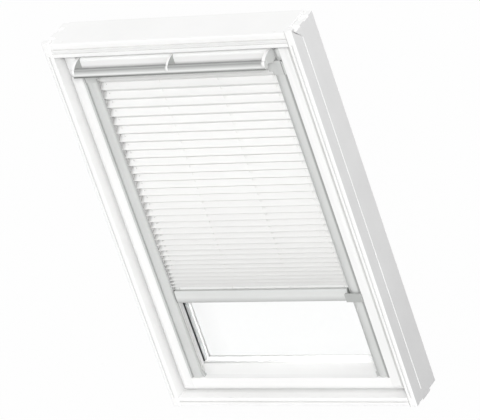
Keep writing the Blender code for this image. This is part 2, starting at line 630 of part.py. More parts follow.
# Outside covers of folded aluminium
cover_front = GLASS_BACK + GAP
cover_back = SASH_BACK + GAP + COVER_T
cover_x = (STILE_LIP - COVER_LAP, SASH_X - COVER_EDGE)
side_cover = [(cover_x[0], cover_front), (cover_x[0] + COVER_T, cover_front),
              (cover_x[0] + COVER_T, SASH_BACK + GAP), (cover_x[1], SASH_BACK + GAP), (cover_x[1], cover_back),
              (cover_x[0], cover_back)]
cover_z = (SASH_LOW + COVER_EDGE, SASH_TOP - COVER_EDGE)
for side_name, side_sign in SIDES:
    outline = across(side_cover) if side_sign > 0 else mirrored(across(side_cover))
    cover = piece(f"sash_cover_{side_name}", prism(outline, "Z", *cover_z), grey_cover, sash_pivot)
    for lip_z in ((0, BOTTOM_LIP - REBATE_W + GAP), (TOP_LIP + REBATE_W - GAP, FRAME_H)):
        cut(cover, block((-SASH_X, SASH_X), (cover_front - PAST, SASH_BACK + GAP), lip_z))
    jamb_x = sorted((side_sign * (INNER_X + JAMB_COVER_IN), side_sign * (HALF_W - COVER_EDGE)))
    piece(f"jamb_cover_{side_name}", block(jamb_x, (FRAME_D + GAP, FRAME_D + GAP + COVER_T),
                                           (JAMB_COVER_RISE, FRAME_H - HOOD_DROP - GAP)), grey_cover)
across_x = cover_x[0] - GAP
for name, lip, edge, direction in (("bottom", BOTTOM_LIP, cover_z[0], 1), ("top", TOP_LIP, cover_z[1], -1)):
    inner_edge = lip + direction * COVER_LAP
    outline = at_depth([
        (cover_front, inner_edge), (cover_front, inner_edge - direction * COVER_T),
        (SASH_BACK + GAP, inner_edge - direction * COVER_T), (SASH_BACK + GAP, edge), (cover_back, edge),
        (cover_back, inner_edge)])
    piece(f"sash_cover_{name}", prism(outline, "X", -across_x, across_x), grey_cover, sash_pivot)
hood_x = HALF_W - COVER_EDGE
outer_skin = (FRAME_D + GAP, FRAME_D + GAP + COVER_T)
piece("head_hood", block((-hood_x, hood_x), outer_skin, (FRAME_H - HOOD_DROP, FRAME_H - HOOD_TOP_DROP)), grey_cover)
piece("sill_cover", block((-INNER_X, INNER_X), outer_skin, (SILL_COVER_RISE, SILL_TOP - SILL_COVER_DROP)), grey_cover)

# Ventilation flap on two bracket eyes, with the control bar carried in front of it on three fins
front_curve = arc((FLAP_FACE + FLAP_CURL, FLAP_TOP - FLAP_CURL), (FLAP_CURL, FLAP_CURL), 180, 90, 6)
inner_curl = FLAP_CURL - FLAP_T
back_curve = arc((FLAP_FACE + FLAP_CURL, FLAP_TOP - FLAP_CURL), (inner_curl, inner_curl), 90, 180, 6)
flap_outline = [(FLAP_FACE, FLAP_LOW)] + front_curve + [(FLAP_BACK, FLAP_TOP), (FLAP_BACK, FLAP_TOP - FLAP_T)]
flap_outline += back_curve + [(FLAP_FACE + FLAP_T, FLAP_LOW)]
cheek_in = FLAP_HALF - CHEEK_T
piece("vent_flap", prism(at_depth(flap_outline), "X", -cheek_in + GAP, cheek_in - GAP), white_sash, flap_pivot, 30)

grip_back = GRIP_FRONT + GRIP_D
grip_outline = [(grip_back, GRIP_LOW), (grip_back, GRIP_TOP)]
grip_outline += arc((GRIP_FRONT + GRIP_ROUND[0], GRIP_TOP - GRIP_ROUND[1]), GRIP_ROUND, 90, 180, 6)
grip_outline += arc((GRIP_FRONT + GRIP_LOW_ROUND[0], GRIP_LOW + GRIP_LOW_ROUND[1]), GRIP_LOW_ROUND, 180, 270, 3)
grip_end = FLAP_HALF - GRIP_CAP_T
grip = piece("control_bar", prism(at_depth(grip_outline), "X", -grip_end + GAP, grip_end - GAP),
             anodised, flap_pivot, 30)
cut(grip, prism(offset(at_depth(grip_outline), -TUBE_WALL), "X", -FRAME_W, FRAME_W))
for side_name, side_sign in SIDES:
    ends = sorted((side_sign * grip_end, side_sign * FLAP_HALF))
    piece(f"control_bar_cap_{side_name}", prism(at_depth(grip_outline), "X", *ends), grey_plastic, flap_pivot, 30)

# A fin's outline above and behind the control bar, up to where its back edge begins
fin_nose = [(GRIP_FRONT + depth, GRIP_TOP + rise) for depth, rise in FIN_TOE]
fin_nose += [(depth, FLAP_TOP - drop) for depth, drop in FIN_ARCH]
fin_root = [(depth, GRIP_LOW + rise) for depth, rise in FIN_HEEL] + [(grip_back + GAP, GRIP_TOP + GAP)]
fin_gap_curve = arc((FLAP_FACE + FLAP_CURL, FLAP_TOP - FLAP_CURL), (FLAP_CURL + GAP, FLAP_CURL + GAP), 110, 180, 5)
mid_fin = fin_nose + fin_gap_curve + [(FLAP_FACE - GAP, FLAP_LOW + FIN_LIFT)] + fin_root
mid_x = MID_FIN_T / 2
piece("control_bar_fin_middle", prism(at_depth(mid_fin), "X", -mid_x, mid_x), white_sash, flap_pivot)
cheek_outline = fin_nose + [(FLAP_FACE, FLAP_TOP + GAP), (CHEEK_BACK, FLAP_TOP), (CHEEK_BACK, FLAP_LOW + FIN_LIFT),
                            (FLAP_FACE, FLAP_LOW)] + fin_root
flap_axis = (y_at(FLAP_AXIS_DEPTH), FLAP_AXIS_Z)
for side_name, side_sign in SIDES:
    ends = sorted((side_sign * cheek_in, side_sign * FLAP_HALF))
    cheek = piece(f"control_bar_fin_{side_name}", prism(at_depth(cheek_outline), "X", *ends), white_sash, flap_pivot)
    pin_end = sorted((side_sign * (cheek_in + CHEEK_T / 5), side_sign * (cheek_in - FLAP_PIN_LEN)))
    cut(cheek, rod("X", flap_axis, FLAP_PIN_R, *pin_end, 12), "UNION")
    bracket_out = cheek_in - BRACKET_CLEAR
    bracket_x = sorted((side_sign * bracket_out, side_sign * (bracket_out - BRACKET_T)))
    eye = arc((FLAP_AXIS_DEPTH, FLAP_AXIS_Z), (BRACKET_EYE, BRACKET_EYE), 90, 270, 8)
    foot = TOP_FRONT - BRACKET_FOOT_T
    bracket_outline = eye + [(foot, FLAP_AXIS_Z - BRACKET_EYE), (foot, FLAP_AXIS_Z - BRACKET_FOOT_H),
                             (TOP_FRONT - GAP, FLAP_AXIS_Z - BRACKET_FOOT_H),
                             (TOP_FRONT - GAP, FLAP_AXIS_Z + BRACKET_FOOT_H),
                             (foot, FLAP_AXIS_Z + BRACKET_FOOT_H), (foot, FLAP_AXIS_Z + BRACKET_EYE)]
    bracket = piece(f"flap_bracket_{side_name}", prism(at_depth(bracket_outline), "X", *bracket_x), steel, sash_pivot)
    cut(bracket, rod("X", flap_axis, FLAP_PIN_R + GAP, bracket_x[0] - PAST, bracket_x[1] + PAST, 12))


# Blind: side rails on the stiles, joined to the head rail by two elbows
def rail_section():
    """The rail's outline as (inset from its outer edge, depth)."""
    slot_floor = RAIL_W - RAIL_SLOT_DEEP
    return [(0, SASH_FRONT), (RAIL_LIP_W, SASH_FRONT), (RAIL_LIP_W, SASH_FRONT + RAIL_GROOVE_D)] + list(RAIL_FACE) + [
        (RAIL_W - RAIL_EDGE_W, RAIL_EDGE), (RAIL_W, RAIL_EDGE), (RAIL_W, RAIL_SLOT_FROM),
        (slot_floor, RAIL_SLOT_FROM), (slot_floor, RAIL_SLOT_TO), (RAIL_W, RAIL_SLOT_TO), (RAIL_W, RAIL_BACK),
        (0, RAIL_BACK)]


for side_name, side_sign in SIDES:
    outline = across([(side_sign * (RAIL_OUT - inset), depth) for inset, depth in rail_section()])
    piece(f"blind_rail_{side_name}", prism(outline, "Z", RAIL_LOW, ELBOW_LOW - GAP), anodised, sash_pivot)

squeeze = HEAD_RAIL_H / RAIL_W
head_rail_outline = at_depth([(depth, HEAD_RAIL_TOP - inset * squeeze) for inset, depth in rail_section()[:14]] + [
    (RAIL_BACK, HEAD_RAIL_LOW), (RAIL_BACK, HEAD_RAIL_TOP)])
elbow_x = RAIL_IN - ELBOW_LEG
head_rail = piece("blind_head_rail", prism(head_rail_outline, "X", -elbow_x + GAP, elbow_x - GAP),
                  anodised, sash_pivot)
cut(head_rail, block((-FRAME_W, FRAME_W), (RAIL_SLOT_FROM, RAIL_SLOT_TO),
                     (HEAD_RAIL_LOW + TUBE_WALL, HEAD_RAIL_TOP - TUBE_WALL)))

elbow_front = SASH_FRONT + ELBOW_BACKSET
for side_name, side_sign in SIDES:
    inner = arc((RAIL_IN - ELBOW_ROUND, HEAD_RAIL_LOW - ELBOW_ROUND), (ELBOW_ROUND, ELBOW_ROUND), 90, 0, 6)
    points = [(elbow_x, HEAD_RAIL_LOW)] + inner + [
        (RAIL_IN, ELBOW_LOW), (RAIL_OUT, ELBOW_LOW), (RAIL_OUT, HEAD_RAIL_TOP), (elbow_x, HEAD_RAIL_TOP)]
    outline = [(side_sign * x, z) for x, z in points]
    elbow = piece(f"blind_corner_{side_name}", prism(outline, "Y", y_at(elbow_front), y_at(RAIL_BACK)),
                  grey_plastic, sash_pivot)
    behind = sorted((side_sign * (elbow_x - PAST), side_sign * (RAIL_IN + GAP)))
    cut(elbow, block(behind, (elbow_front + ELBOW_WEB, RAIL_BACK + PAST), (ELBOW_LOW - PAST, HEAD_RAIL_LOW + GAP)))
    clip_points = [(RAIL_IN - CLIP_TIP_T, 0), (RAIL_IN + CLIP_IN, 0), (RAIL_IN + CLIP_IN, CLIP_H),
                   (RAIL_IN + GAP, CLIP_H), (RAIL_IN + GAP, CLIP_FOOT_H), (RAIL_IN - CLIP_TIP_T, CLIP_FOOT_H)]
    clip = piece(f"blind_foot_{side_name}",
                 prism([(side_sign * x, RAIL_LOW + z) for x, z in clip_points], "Y",
                       y_at(RAIL_SLOT_FROM + GAP), y_at(RAIL_SLOT_TO - GAP)), grey_plastic, sash_pivot)
    tip_points = at_depth([(CLIP_TIP_FRONT, RAIL_LOW), (CLIP_TIP_BACK, RAIL_LOW),
                           (CLIP_TIP_BACK, RAIL_LOW + CLIP_FOOT_H), (CLIP_TIP_FRONT + CLIP_TIP_T, RAIL_LOW + CLIP_TIP_H),
                           (CLIP_TIP_FRONT, RAIL_LOW + CLIP_TIP_H)])
    tip_x = sorted((side_sign * (RAIL_IN - GAP - CLIP_TIP_T), side_sign * (RAIL_IN - GAP)))
    cut(clip, prism(tip_points, "X", *tip_x), "UNION")
    cord_centre = (side_sign * (RAIL_IN + CORD_IN), y_at((RAIL_SLOT_FROM + RAIL_SLOT_TO) / 2))
    piece(f"tension_cord_{side_name}", rod("Z", cord_centre, CORD_R, RAIL_LOW + CLIP_H + GAP, ELBOW_LOW - GAP, 8),
          cord_white, sash_pivot, smooth_deg=60)


# Pleated cloth, its folds closing up towards the foot
def cloth_line():
    """The folds as (depth, z) points from the head rail down to the bottom bar."""
    def half_fold(pitch):
        return math.sqrt(PANEL ** 2 - (pitch / 2) ** 2) / 2

    z = HEAD_RAIL_LOW - FIRST_FOLD_DROP
    line = [(CLOTH_DEPTH, HEAD_RAIL_LOW - CLOTH_T)]
    for i in range(PLEATS):
        pitch = PITCH_TOP + (PITCH_END - PITCH_TOP) * (i + 0.5) / PLEATS
        line += [(CLOTH_DEPTH - half_fold(pitch), z), (CLOTH_DEPTH + half_fold(pitch), z - pitch / 2)]
        z -= pitch
    line += [(CLOTH_DEPTH - half_fold(PITCH_END), z), (CLOTH_DEPTH + half_fold(PITCH_END), z - PITCH_END / 2)]
    return line + [(CLOTH_DEPTH, BAR_TOP + CLOTH_T)]


cloth_outline = at_depth(thickened(cloth_line(), CLOTH_T))
piece("pleated_cloth", prism(cloth_outline, "X", -BAR_HALF, BAR_HALF), cloth, sash_pivot)

# Bottom bar with its end cap, its latch slider and the two glides in the rails
bar_face = [(BAR_FRONT + BAR_BULGE * (2 * i / BAR_FACETS - 1) ** 4, BAR_LOW + BAR_H * i / BAR_FACETS)
            for i in range(BAR_FACETS + 1)]
bar_outline = at_depth([(BAR_BACK, BAR_LOW)] + bar_face + [(BAR_BACK, BAR_TOP)])
bar = piece("bottom_bar", prism(bar_outline, "X", -BAR_HALF + BAR_CAP_T + GAP, BAR_HALF - BAR_CAP_T - GAP),
            anodised, blind_slide)
cut(bar, prism(offset(bar_outline, -TUBE_WALL), "X", -FRAME_W, FRAME_W))
for side_name, side_sign in SIDES:
    ends = sorted((side_sign * (BAR_HALF - BAR_CAP_T), side_sign * BAR_HALF))
    piece(f"bottom_bar_cap_{side_name}", prism(bar_outline, "X", *ends), grey_plastic, blind_slide)
    glide_x = sorted((side_sign * (BAR_HALF + GAP), side_sign * (BAR_HALF + GAP + GLIDE_LEN)))
    glide_z = (BAR_LOW + GLIDE_RISE, BAR_LOW + GLIDE_RISE + GLIDE_H)
    glide_depth = (RAIL_SLOT_FROM + GLIDE_CLEAR, RAIL_SLOT_TO - GLIDE_CLEAR)
    piece(f"blind_glide_{side_name}", block(glide_x, glide_depth, glide_z), white_plastic, blind_slide)

slider_front = SASH_FRONT - SLIDER_OUT
slider_z = (BAR_LOW + SLIDER_RISE, BAR_LOW + SLIDER_RISE + SLIDER_H)
slider_x = (RAIL_IN - SLIDER_LAP, RAIL_OUT)
slider = piece("bar_latch_slider", block(slider_x, (slider_front, slider_front + SLIDER_T), slider_z),
               grey_plastic, blind_slide)
cut(slider, block((slider_x[0], RAIL_IN - GAP), (slider_front + SLIDER_T / 2, BAR_FRONT - GAP), slider_z), "UNION")
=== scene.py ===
"""A centre-pivot roof window with a pleated blind on its sash, dressed over its CAD frame.

X runs to the right, Z up the slope and Y outwards. Depths are counted outwards from the frame's room face.
"""

import json
import math

import bmesh
import bpy
from mathutils import Matrix, Vector, noise

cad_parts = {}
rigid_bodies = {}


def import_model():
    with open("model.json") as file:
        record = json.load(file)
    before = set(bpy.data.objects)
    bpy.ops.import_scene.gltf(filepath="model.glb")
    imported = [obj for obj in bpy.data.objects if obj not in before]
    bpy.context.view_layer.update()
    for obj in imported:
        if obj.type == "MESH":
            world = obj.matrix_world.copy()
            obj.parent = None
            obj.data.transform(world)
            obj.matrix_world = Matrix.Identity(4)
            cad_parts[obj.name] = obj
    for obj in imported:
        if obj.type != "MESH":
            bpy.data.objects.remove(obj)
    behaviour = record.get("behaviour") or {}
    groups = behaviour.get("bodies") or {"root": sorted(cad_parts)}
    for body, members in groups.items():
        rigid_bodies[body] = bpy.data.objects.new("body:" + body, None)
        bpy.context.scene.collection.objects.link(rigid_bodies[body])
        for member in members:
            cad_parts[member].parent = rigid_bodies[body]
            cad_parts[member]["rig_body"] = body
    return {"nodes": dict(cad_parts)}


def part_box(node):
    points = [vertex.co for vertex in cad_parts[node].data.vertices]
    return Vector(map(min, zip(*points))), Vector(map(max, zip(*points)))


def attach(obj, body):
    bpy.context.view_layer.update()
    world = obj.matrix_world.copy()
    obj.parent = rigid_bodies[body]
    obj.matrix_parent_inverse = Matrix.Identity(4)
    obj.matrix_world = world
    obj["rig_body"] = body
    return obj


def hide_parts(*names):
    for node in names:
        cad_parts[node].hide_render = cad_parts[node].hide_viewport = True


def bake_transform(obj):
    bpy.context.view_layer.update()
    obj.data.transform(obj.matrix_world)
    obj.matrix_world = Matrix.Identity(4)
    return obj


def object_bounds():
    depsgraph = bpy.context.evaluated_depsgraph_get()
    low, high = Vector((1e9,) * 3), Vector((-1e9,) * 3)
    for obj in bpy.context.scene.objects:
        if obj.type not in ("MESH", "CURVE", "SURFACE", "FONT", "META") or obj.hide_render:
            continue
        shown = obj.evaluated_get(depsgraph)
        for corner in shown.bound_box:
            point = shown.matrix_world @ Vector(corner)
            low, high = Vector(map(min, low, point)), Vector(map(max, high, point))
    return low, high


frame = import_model()
cad_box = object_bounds()

# Room: one broad lamp shines from near the camera over a pale floor, and the white surroundings are brighter
# behind and above. The floor and the surroundings show white to the camera, to gloss and through glass, and
# the floor keeps a little of its own light, and with it the window's shadow.
CAMERA_AT = (6.3251, -8.7529, 5.9911)
CAMERA_AIM = (-0.52382, 0.72545, -0.44647)
CAMERA_UP = (0.02135, 0.53514, 0.84449)
LENS_MM = 335.7
SURROUND_LIGHT = 0.34
BACK_AND_TOP_LIGHT = (0.0, 0.11, 0.60)
LAMP_LIGHT = 2.08
LAMP_FROM = (0.50, -0.725, 0.455)
LAMP_SPREAD_DEG = 15
WHITE = (1, 1, 1, 1)
FLOOR_TONE = 0.72
FLOOR_SHOWN_WHITE = 0.965
FLOOR_R = 30
FLOOR_GAP = 0.001

aim = Vector(CAMERA_AIM).normalized()
up = Vector(CAMERA_UP)
right = aim.cross(up).normalized()
up = right.cross(aim)
camera_data = bpy.data.cameras.new("camera")
camera_data.lens = LENS_MM
camera_data.sensor_width = 36
camera_data.sensor_fit = "HORIZONTAL"
camera_data.clip_end = 100
camera = bpy.data.objects.new("camera", camera_data)
camera.matrix_world = Matrix.Translation(CAMERA_AT) @ Matrix((right, up, -aim)).transposed().to_4x4()
bpy.context.scene.collection.objects.link(camera)
bpy.context.scene.camera = camera
bpy.context.scene.view_settings.view_transform = "Standard"

lamp_data = bpy.data.lights.new("broad_lamp", "SUN")
lamp_data.energy = LAMP_LIGHT
lamp_data.angle = math.radians(LAMP_SPREAD_DEG)
lamp = bpy.data.objects.new("broad_lamp", lamp_data)
lamp.rotation_euler = Vector(LAMP_FROM).to_track_quat("Z", "Y").to_euler()
bpy.context.scene.collection.objects.link(lamp)


def reckoned(nodes, links, operation, *values):
    """The result of one step of arithmetic on sockets and plain numbers."""
    step = nodes.new("ShaderNodeMath")
    step.operation = operation
    for socket, value in zip(step.inputs, values):
        if isinstance(value, bpy.types.NodeSocket):
            links.new(value, socket)
        else:
            socket.default_value = value
    return step.outputs[0]


def seen_directly(nodes, links):
    """A socket that is 1 for rays that come from the camera, a gloss or a pane of glass, and else 0."""
    path = nodes.new("ShaderNodeLightPath")
    total = path.outputs["Is Camera Ray"]
    for kind in ("Is Glossy Ray", "Is Transmission Ray"):
        total = reckoned(nodes, links, "MAXIMUM", total, path.outputs[kind])
    return total


world = bpy.data.worlds.new("white_studio")
bpy.context.scene.world = world
world.use_nodes = True
nodes, links = world.node_tree.nodes, world.node_tree.links
nodes.clear()
lit = nodes.new("ShaderNodeBackground")
lit.inputs["Color"].default_value = WHITE
heading = nodes.new("ShaderNodeTexCoord")
toward = nodes.new("ShaderNodeVectorMath")
toward.operation = "DOT_PRODUCT"
toward.inputs[1].default_value = BACK_AND_TOP_LIGHT
links.new(heading.outputs["Generated"], toward.inputs[0])
strength = reckoned(nodes, links, "ADD", toward.outputs["Value"], SURROUND_LIGHT)
links.new(strength, lit.inputs["Strength"])
shown = nodes.new("ShaderNodeBackground")
shown.inputs["Color"].default_value = WHITE
shown.inputs["Strength"].default_value = 1
which = nodes.new("ShaderNodeMixShader")
links.new(seen_directly(nodes, links), which.inputs[0])
links.new(lit.outputs[0], which.inputs[1])
links.new(shown.outputs[0], which.inputs[2])
links.new(which.outputs[0], nodes.new("ShaderNodeOutputWorld").inputs["Surface"])

floor_paint = bpy.data.materials.new("pale_floor")
floor_paint.use_nodes = True
nodes, links = floor_paint.node_tree.nodes, floor_paint.node_tree.links
nodes.clear()
matt = nodes.new("ShaderNodeBsdfDiffuse")
matt.inputs["Color"].default_value = (FLOOR_TONE, FLOOR_TONE, FLOOR_TONE, 1)
pale = nodes.new("ShaderNodeEmission")
pale.inputs["Color"].default_value = WHITE
pale.inputs["Strength"].default_value = 1
share = reckoned(nodes, links, "MULTIPLY", seen_directly(nodes, links), FLOOR_SHOWN_WHITE)
which = nodes.new("ShaderNodeMixShader")
links.new(share, which.inputs[0])
links.new(matt.outputs[0], which.inputs[1])
links.new(pale.outputs[0], which.inputs[2])
links.new(which.outputs[0], nodes.new("ShaderNodeOutputMaterial").inputs["Surface"])

bm = bmesh.new()
bmesh.ops.create_circle(bm, cap_ends=True, radius=FLOOR_R, segments=64)
bmesh.ops.translate(bm, verts=bm.verts, vec=(0, 0, cad_box[0][2] - FLOOR_GAP))
floor_mesh = bpy.data.meshes.new("floor")
bm.to_mesh(floor_mesh)
bm.free()
floor_mesh.materials.append(floor_paint)
floor = bpy.data.objects.new("floor", floor_mesh)
bpy.context.scene.collection.objects.link(floor)

# Outer frame: two full-height jambs with the head and the sill between them, moulded in white polyurethane
# round a timber core and lacquered. The outer sides are painted greyer as painted shade, darker towards the
# bottom, and the lining groove is painted grey as painted shade. The right jamb's chamfer and the head's step
# are painted grey as painted shade too.
ROOM_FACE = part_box("frame_sill")[0][1]
SIDES = (("left", -1), ("right", 1))
FRAME_ARRIS = 0.0010
WELD = 0.00001
FLAT_DEG = 0.5


def toned(nodes, links, amount, stops):
    """The colour that a socket's amount picks between the stops of a ramp."""
    ramp = nodes.new("ShaderNodeValToRGB")
    while len(ramp.color_ramp.elements) < len(stops):
        ramp.color_ramp.elements.new(0.5)
    for stop, (at, colour) in zip(ramp.color_ramp.elements, stops):
        stop.position = at
        stop.color = (*colour, 1)
    links.new(amount, ramp.inputs["Fac"])
    return ramp.outputs["Color"]


def multiplied(nodes, links, colour):
    """A node that multiplies a colour by its second colour."""
    shade = nodes.new("ShaderNodeMix")
    shade.data_type = "RGBA"
    shade.blend_type = "MULTIPLY"
    shade.inputs[0].default_value = 1
    links.new(colour, shade.inputs[6])
    return shade


def grained(name, low, high, roughness, grain, depth, stretch=(1, 1, 1), metallic=0.0, patch=7.0, coat=0.0,
            across=None):
    """A finish whose colour drifts between two tones, with its own gloss and a fine surface grain.

    across=(axis, first, last, stops) also paints a tone over the section of the piece, as painted light and
    shade, from place first to place last along an axis, the same on the left and the right.
    """
    material = bpy.data.materials.new(name)
    material.use_nodes = True
    nodes, links = material.node_tree.nodes, material.node_tree.links
    shader = nodes["Principled BSDF"]
    shader.inputs["Metallic"].default_value = metallic
    shader.inputs["Coat Weight"].default_value = coat
    shader.inputs["Coat Roughness"].default_value = 0.18
    place = nodes.new("ShaderNodeTexCoord")
    drift = nodes.new("ShaderNodeTexNoise")
    drift.inputs["Scale"].default_value = patch
    drift.inputs["Detail"].default_value = 5
    links.new(place.outputs["Object"], drift.inputs["Vector"])
    colour = toned(nodes, links, drift.outputs["Fac"], ((0.36, low), (0.64, high)))
    if across:
        axis, first, last, stops = across
        split = nodes.new("ShaderNodeSeparateXYZ")
        links.new(place.outputs["Object"], split.inputs[0])
        where = nodes.new("ShaderNodeMapRange")
        where.inputs["From Min"].default_value = first
        where.inputs["From Max"].default_value = last
        links.new(reckoned(nodes, links, "ABSOLUTE", split.outputs[axis]), where.inputs["Value"])
        greys = [(at, (value, value, value)) for at, value in stops]
        shade = multiplied(nodes, links, colour)
        links.new(toned(nodes, links, where.outputs["Result"], greys), shade.inputs[7])
        colour = shade.outputs[2]
    links.new(colour, shader.inputs["Base Color"])
    run = nodes.new("ShaderNodeMapping")
    run.inputs["Scale"].default_value = stretch
    links.new(place.outputs["Object"], run.inputs["Vector"])
    fine = nodes.new("ShaderNodeTexNoise")
    fine.inputs["Scale"].default_value = grain
    fine.inputs["Detail"].default_value = 3
    links.new(run.outputs["Vector"], fine.inputs["Vector"])
    gloss = nodes.new("ShaderNodeMapRange")
    gloss.inputs["To Min"].default_value = roughness[0]
    gloss.inputs["To Max"].default_value = roughness[1]
    links.new(fine.outputs["Fac"], gloss.inputs["Value"])
    links.new(gloss.outputs["Result"], shader.inputs["Roughness"])
    bump = nodes.new("ShaderNodeBump")
    bump.inputs["Strength"].default_value = 0.35
    bump.inputs["Distance"].default_value = depth
    links.new(fine.outputs["Fac"], bump.inputs["Height"])
    links.new(bump.outputs["Normal"], shader.inputs["Normal"])
    return material


def placed(name, bm, material, body, replaced=()):
    """Link a finished piece, let it ride on its body and stand for its CAD nodes."""
    mesh = bpy.data.meshes.new(name)
    bm.to_mesh(mesh)
    bm.free()
    mesh.materials.append(material)
    mesh.shade_smooth()
    obj = bpy.data.objects.new(name, mesh)
    bpy.context.scene.collection.objects.link(obj)
    if body is not None:
        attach(obj, body)
    if replaced:
        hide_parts(*replaced)
    return obj


def eased(node, name, material, radius, segments=3, least_deg=28, worked=None):
    """A piece made from its CAD solid with the flat faces joined up, worked on, and the arrises rounded.

    Weighted normals keep its flat faces flat beside the rounded arrises.
    """
    bm = bmesh.new()
    bm.from_mesh(frame["nodes"][node].data)
    bmesh.ops.remove_doubles(bm, verts=bm.verts, dist=WELD)
    bmesh.ops.dissolve_limit(bm, angle_limit=math.radians(FLAT_DEG), verts=bm.verts, edges=bm.edges)
    if worked:
        worked(bm)
    arrises = [e for e in bm.edges if e.is_manifold and e.calc_face_angle() > math.radians(least_deg)]
    bmesh.ops.bevel(bm, geom=arrises, offset=radius, offset_type="OFFSET", affect="EDGES", segments=segments,
                    profile=0.5, clamp_overlap=True, material=-1)
    obj = placed(name, bm, material, frame["nodes"][node]["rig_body"], [node])
    weighted = obj.modifiers.new("even_faces", "WEIGHTED_NORMAL")
    weighted.keep_sharp = True
    weighted.weight = 100
    return obj


def painted(obj, material, chosen):
    """Give another finish to the faces that are chosen by their middle and their direction."""
    obj.data.materials.append(material)
    for face in obj.data.polygons:
        if chosen(face.center, face.normal):
            face.material_index = len(obj.data.materials) - 1


frame_lacquer = grained("frame_lacquer", (0.884, 0.884, 0.879), (0.904, 0.904, 0.900), (0.30, 0.40),
                        900, 0.00004, coat=0.15)
# The outer sides are painted greyer than the lacquer, and darker still towards the bottom, as painted shade.
SIDE_SHADE_TONES = ("Z", 0.0, 1.18, ((0.0, 0.82), (0.35, 0.90), (1.0, 1.0)))
side_painted_shade = grained("side_painted_shade", (0.71, 0.71, 0.71), (0.74, 0.74, 0.74), (0.50, 0.62), 1300, 0.00006,
                      across=SIDE_SHADE_TONES)
# The lining grooves are painted grey as painted shade.
groove_painted_shade = grained("groove_painted_shade", (0.79, 0.79, 0.78), (0.82, 0.82, 0.81), (0.60, 0.75), 1300, 0.00006)
# The right jamb's inner chamfer and the head's step are painted grey as painted shade.
chamfer_painted_shade = grained("chamfer_painted_shade", (0.60, 0.60, 0.59), (0.64, 0.64, 0.63), (0.50, 0.62), 1300, 0.00006)

GROOVE_DEPTHS = (0.0005, 0.0055)
JAMB_GROOVE_X = (0.3768, 0.3802)
SILL_GROOVE_Z = (0.0178, 0.0212)
HEAD_GROOVE_Z = (1.1553, 1.1590)
HEAD_STEP_Z = (1.1430, 1.1460)
HEAD_STEP_DEPTH = 0.0032
OUTER_SIDE_X = 0.3870
CHAMFER_X = (0.3664, 0.3700)
CHAMFER_DEPTH = 0.0034


def between(value, limits):
    """Whether a value lies between a lower and an upper limit."""
    return limits[0] < value < limits[1]


def in_jamb_groove(middle, direction):
    return between(abs(middle.x), JAMB_GROOVE_X) and between(middle.y - ROOM_FACE, GROOVE_DEPTHS)


def in_sill_groove(middle, direction):
    return between(middle.z, SILL_GROOVE_Z) and between(middle.y - ROOM_FACE, GROOVE_DEPTHS)


def in_head_groove(middle, direction):
    return between(middle.z, HEAD_GROOVE_Z) and between(middle.y - ROOM_FACE, GROOVE_DEPTHS)


def on_head_step(middle, direction):
    return between(middle.z, HEAD_STEP_Z) and middle.y - ROOM_FACE < HEAD_STEP_DEPTH and direction.z > 0.5


def on_outer_side(middle, direction):
    return abs(middle.x) > OUTER_SIDE_X and abs(direction.x) > 0.9


def on_right_chamfer(middle, direction):
    return between(middle.x, CHAMFER_X) and middle.y - ROOM_FACE < CHAMFER_DEPTH and direction.x < -0.3


for side_name, _ in SIDES:
    jamb = eased(f"frame_jamb_{side_name}", f"jamb_{side_name}_moulding", frame_lacquer,
                 FRAME_ARRIS)
    painted(jamb, groove_painted_shade, in_jamb_groove)
    painted(jamb, side_painted_shade, on_outer_side)
    painted(jamb, chamfer_painted_shade, on_right_chamfer)
head = eased("frame_head", "head_moulding", frame_lacquer, FRAME_ARRIS)
painted(head, groove_painted_shade, in_head_groove)
painted(head, chamfer_painted_shade, on_head_step)
sill = eased("frame_sill", "sill_moulding", frame_lacquer, FRAME_ARRIS)
painted(sill, groove_painted_shade, in_sill_groove)

# Head screw plugs: two small discs moulded in white plastic, pushed into the holes of the frame's screws and
# sunk just below the head's top.
moulded_white = grained("moulded_white", (0.83, 0.83, 0.82), (0.85, 0.85, 0.84), (0.38, 0.48), 1500, 0.00005)
for side_name, _ in SIDES:
    eased(f"head_screw_plug_{side_name}", f"head_plug_{side_name}", moulded_white,
          radius=0.0005)

# Weather seals: one black rubber lip runs round the frame's rebate, and another beds the inner pane on the
# sash. Both are extruded and pushed into their places dry.
rubber = grained("black_rubber", (0.030, 0.030, 0.031), (0.045, 0.045, 0.046), (0.55, 0.75), 1800, 0.00006)
for node in ("frame_seal", "glazing_gasket"):
    eased(node, f"{node}_rubber", rubber, radius=0.0006, segments=2)


# Gap seals: four soft white lips in the joint round the sash, drawn in one profile and pressed into the frame.
# They leave the sash half a millimetre at the sides, and room for its swing at the head and the sill.
def drawn(outline, travel):
    """A bmesh of a closed outline drawn out along a straight way."""
    bm = bmesh.new()
    end = bm.faces.new([bm.verts.new(point) for point in outline])
    made = bmesh.ops.extrude_face_region(bm, geom=[end])["geom"]
    bmesh.ops.translate(bm, verts=[v for v in made if isinstance(v, bmesh.types.BMVert)], vec=travel)
    bmesh.ops.recalc_face_normals(bm, faces=bm.faces)
    return bm


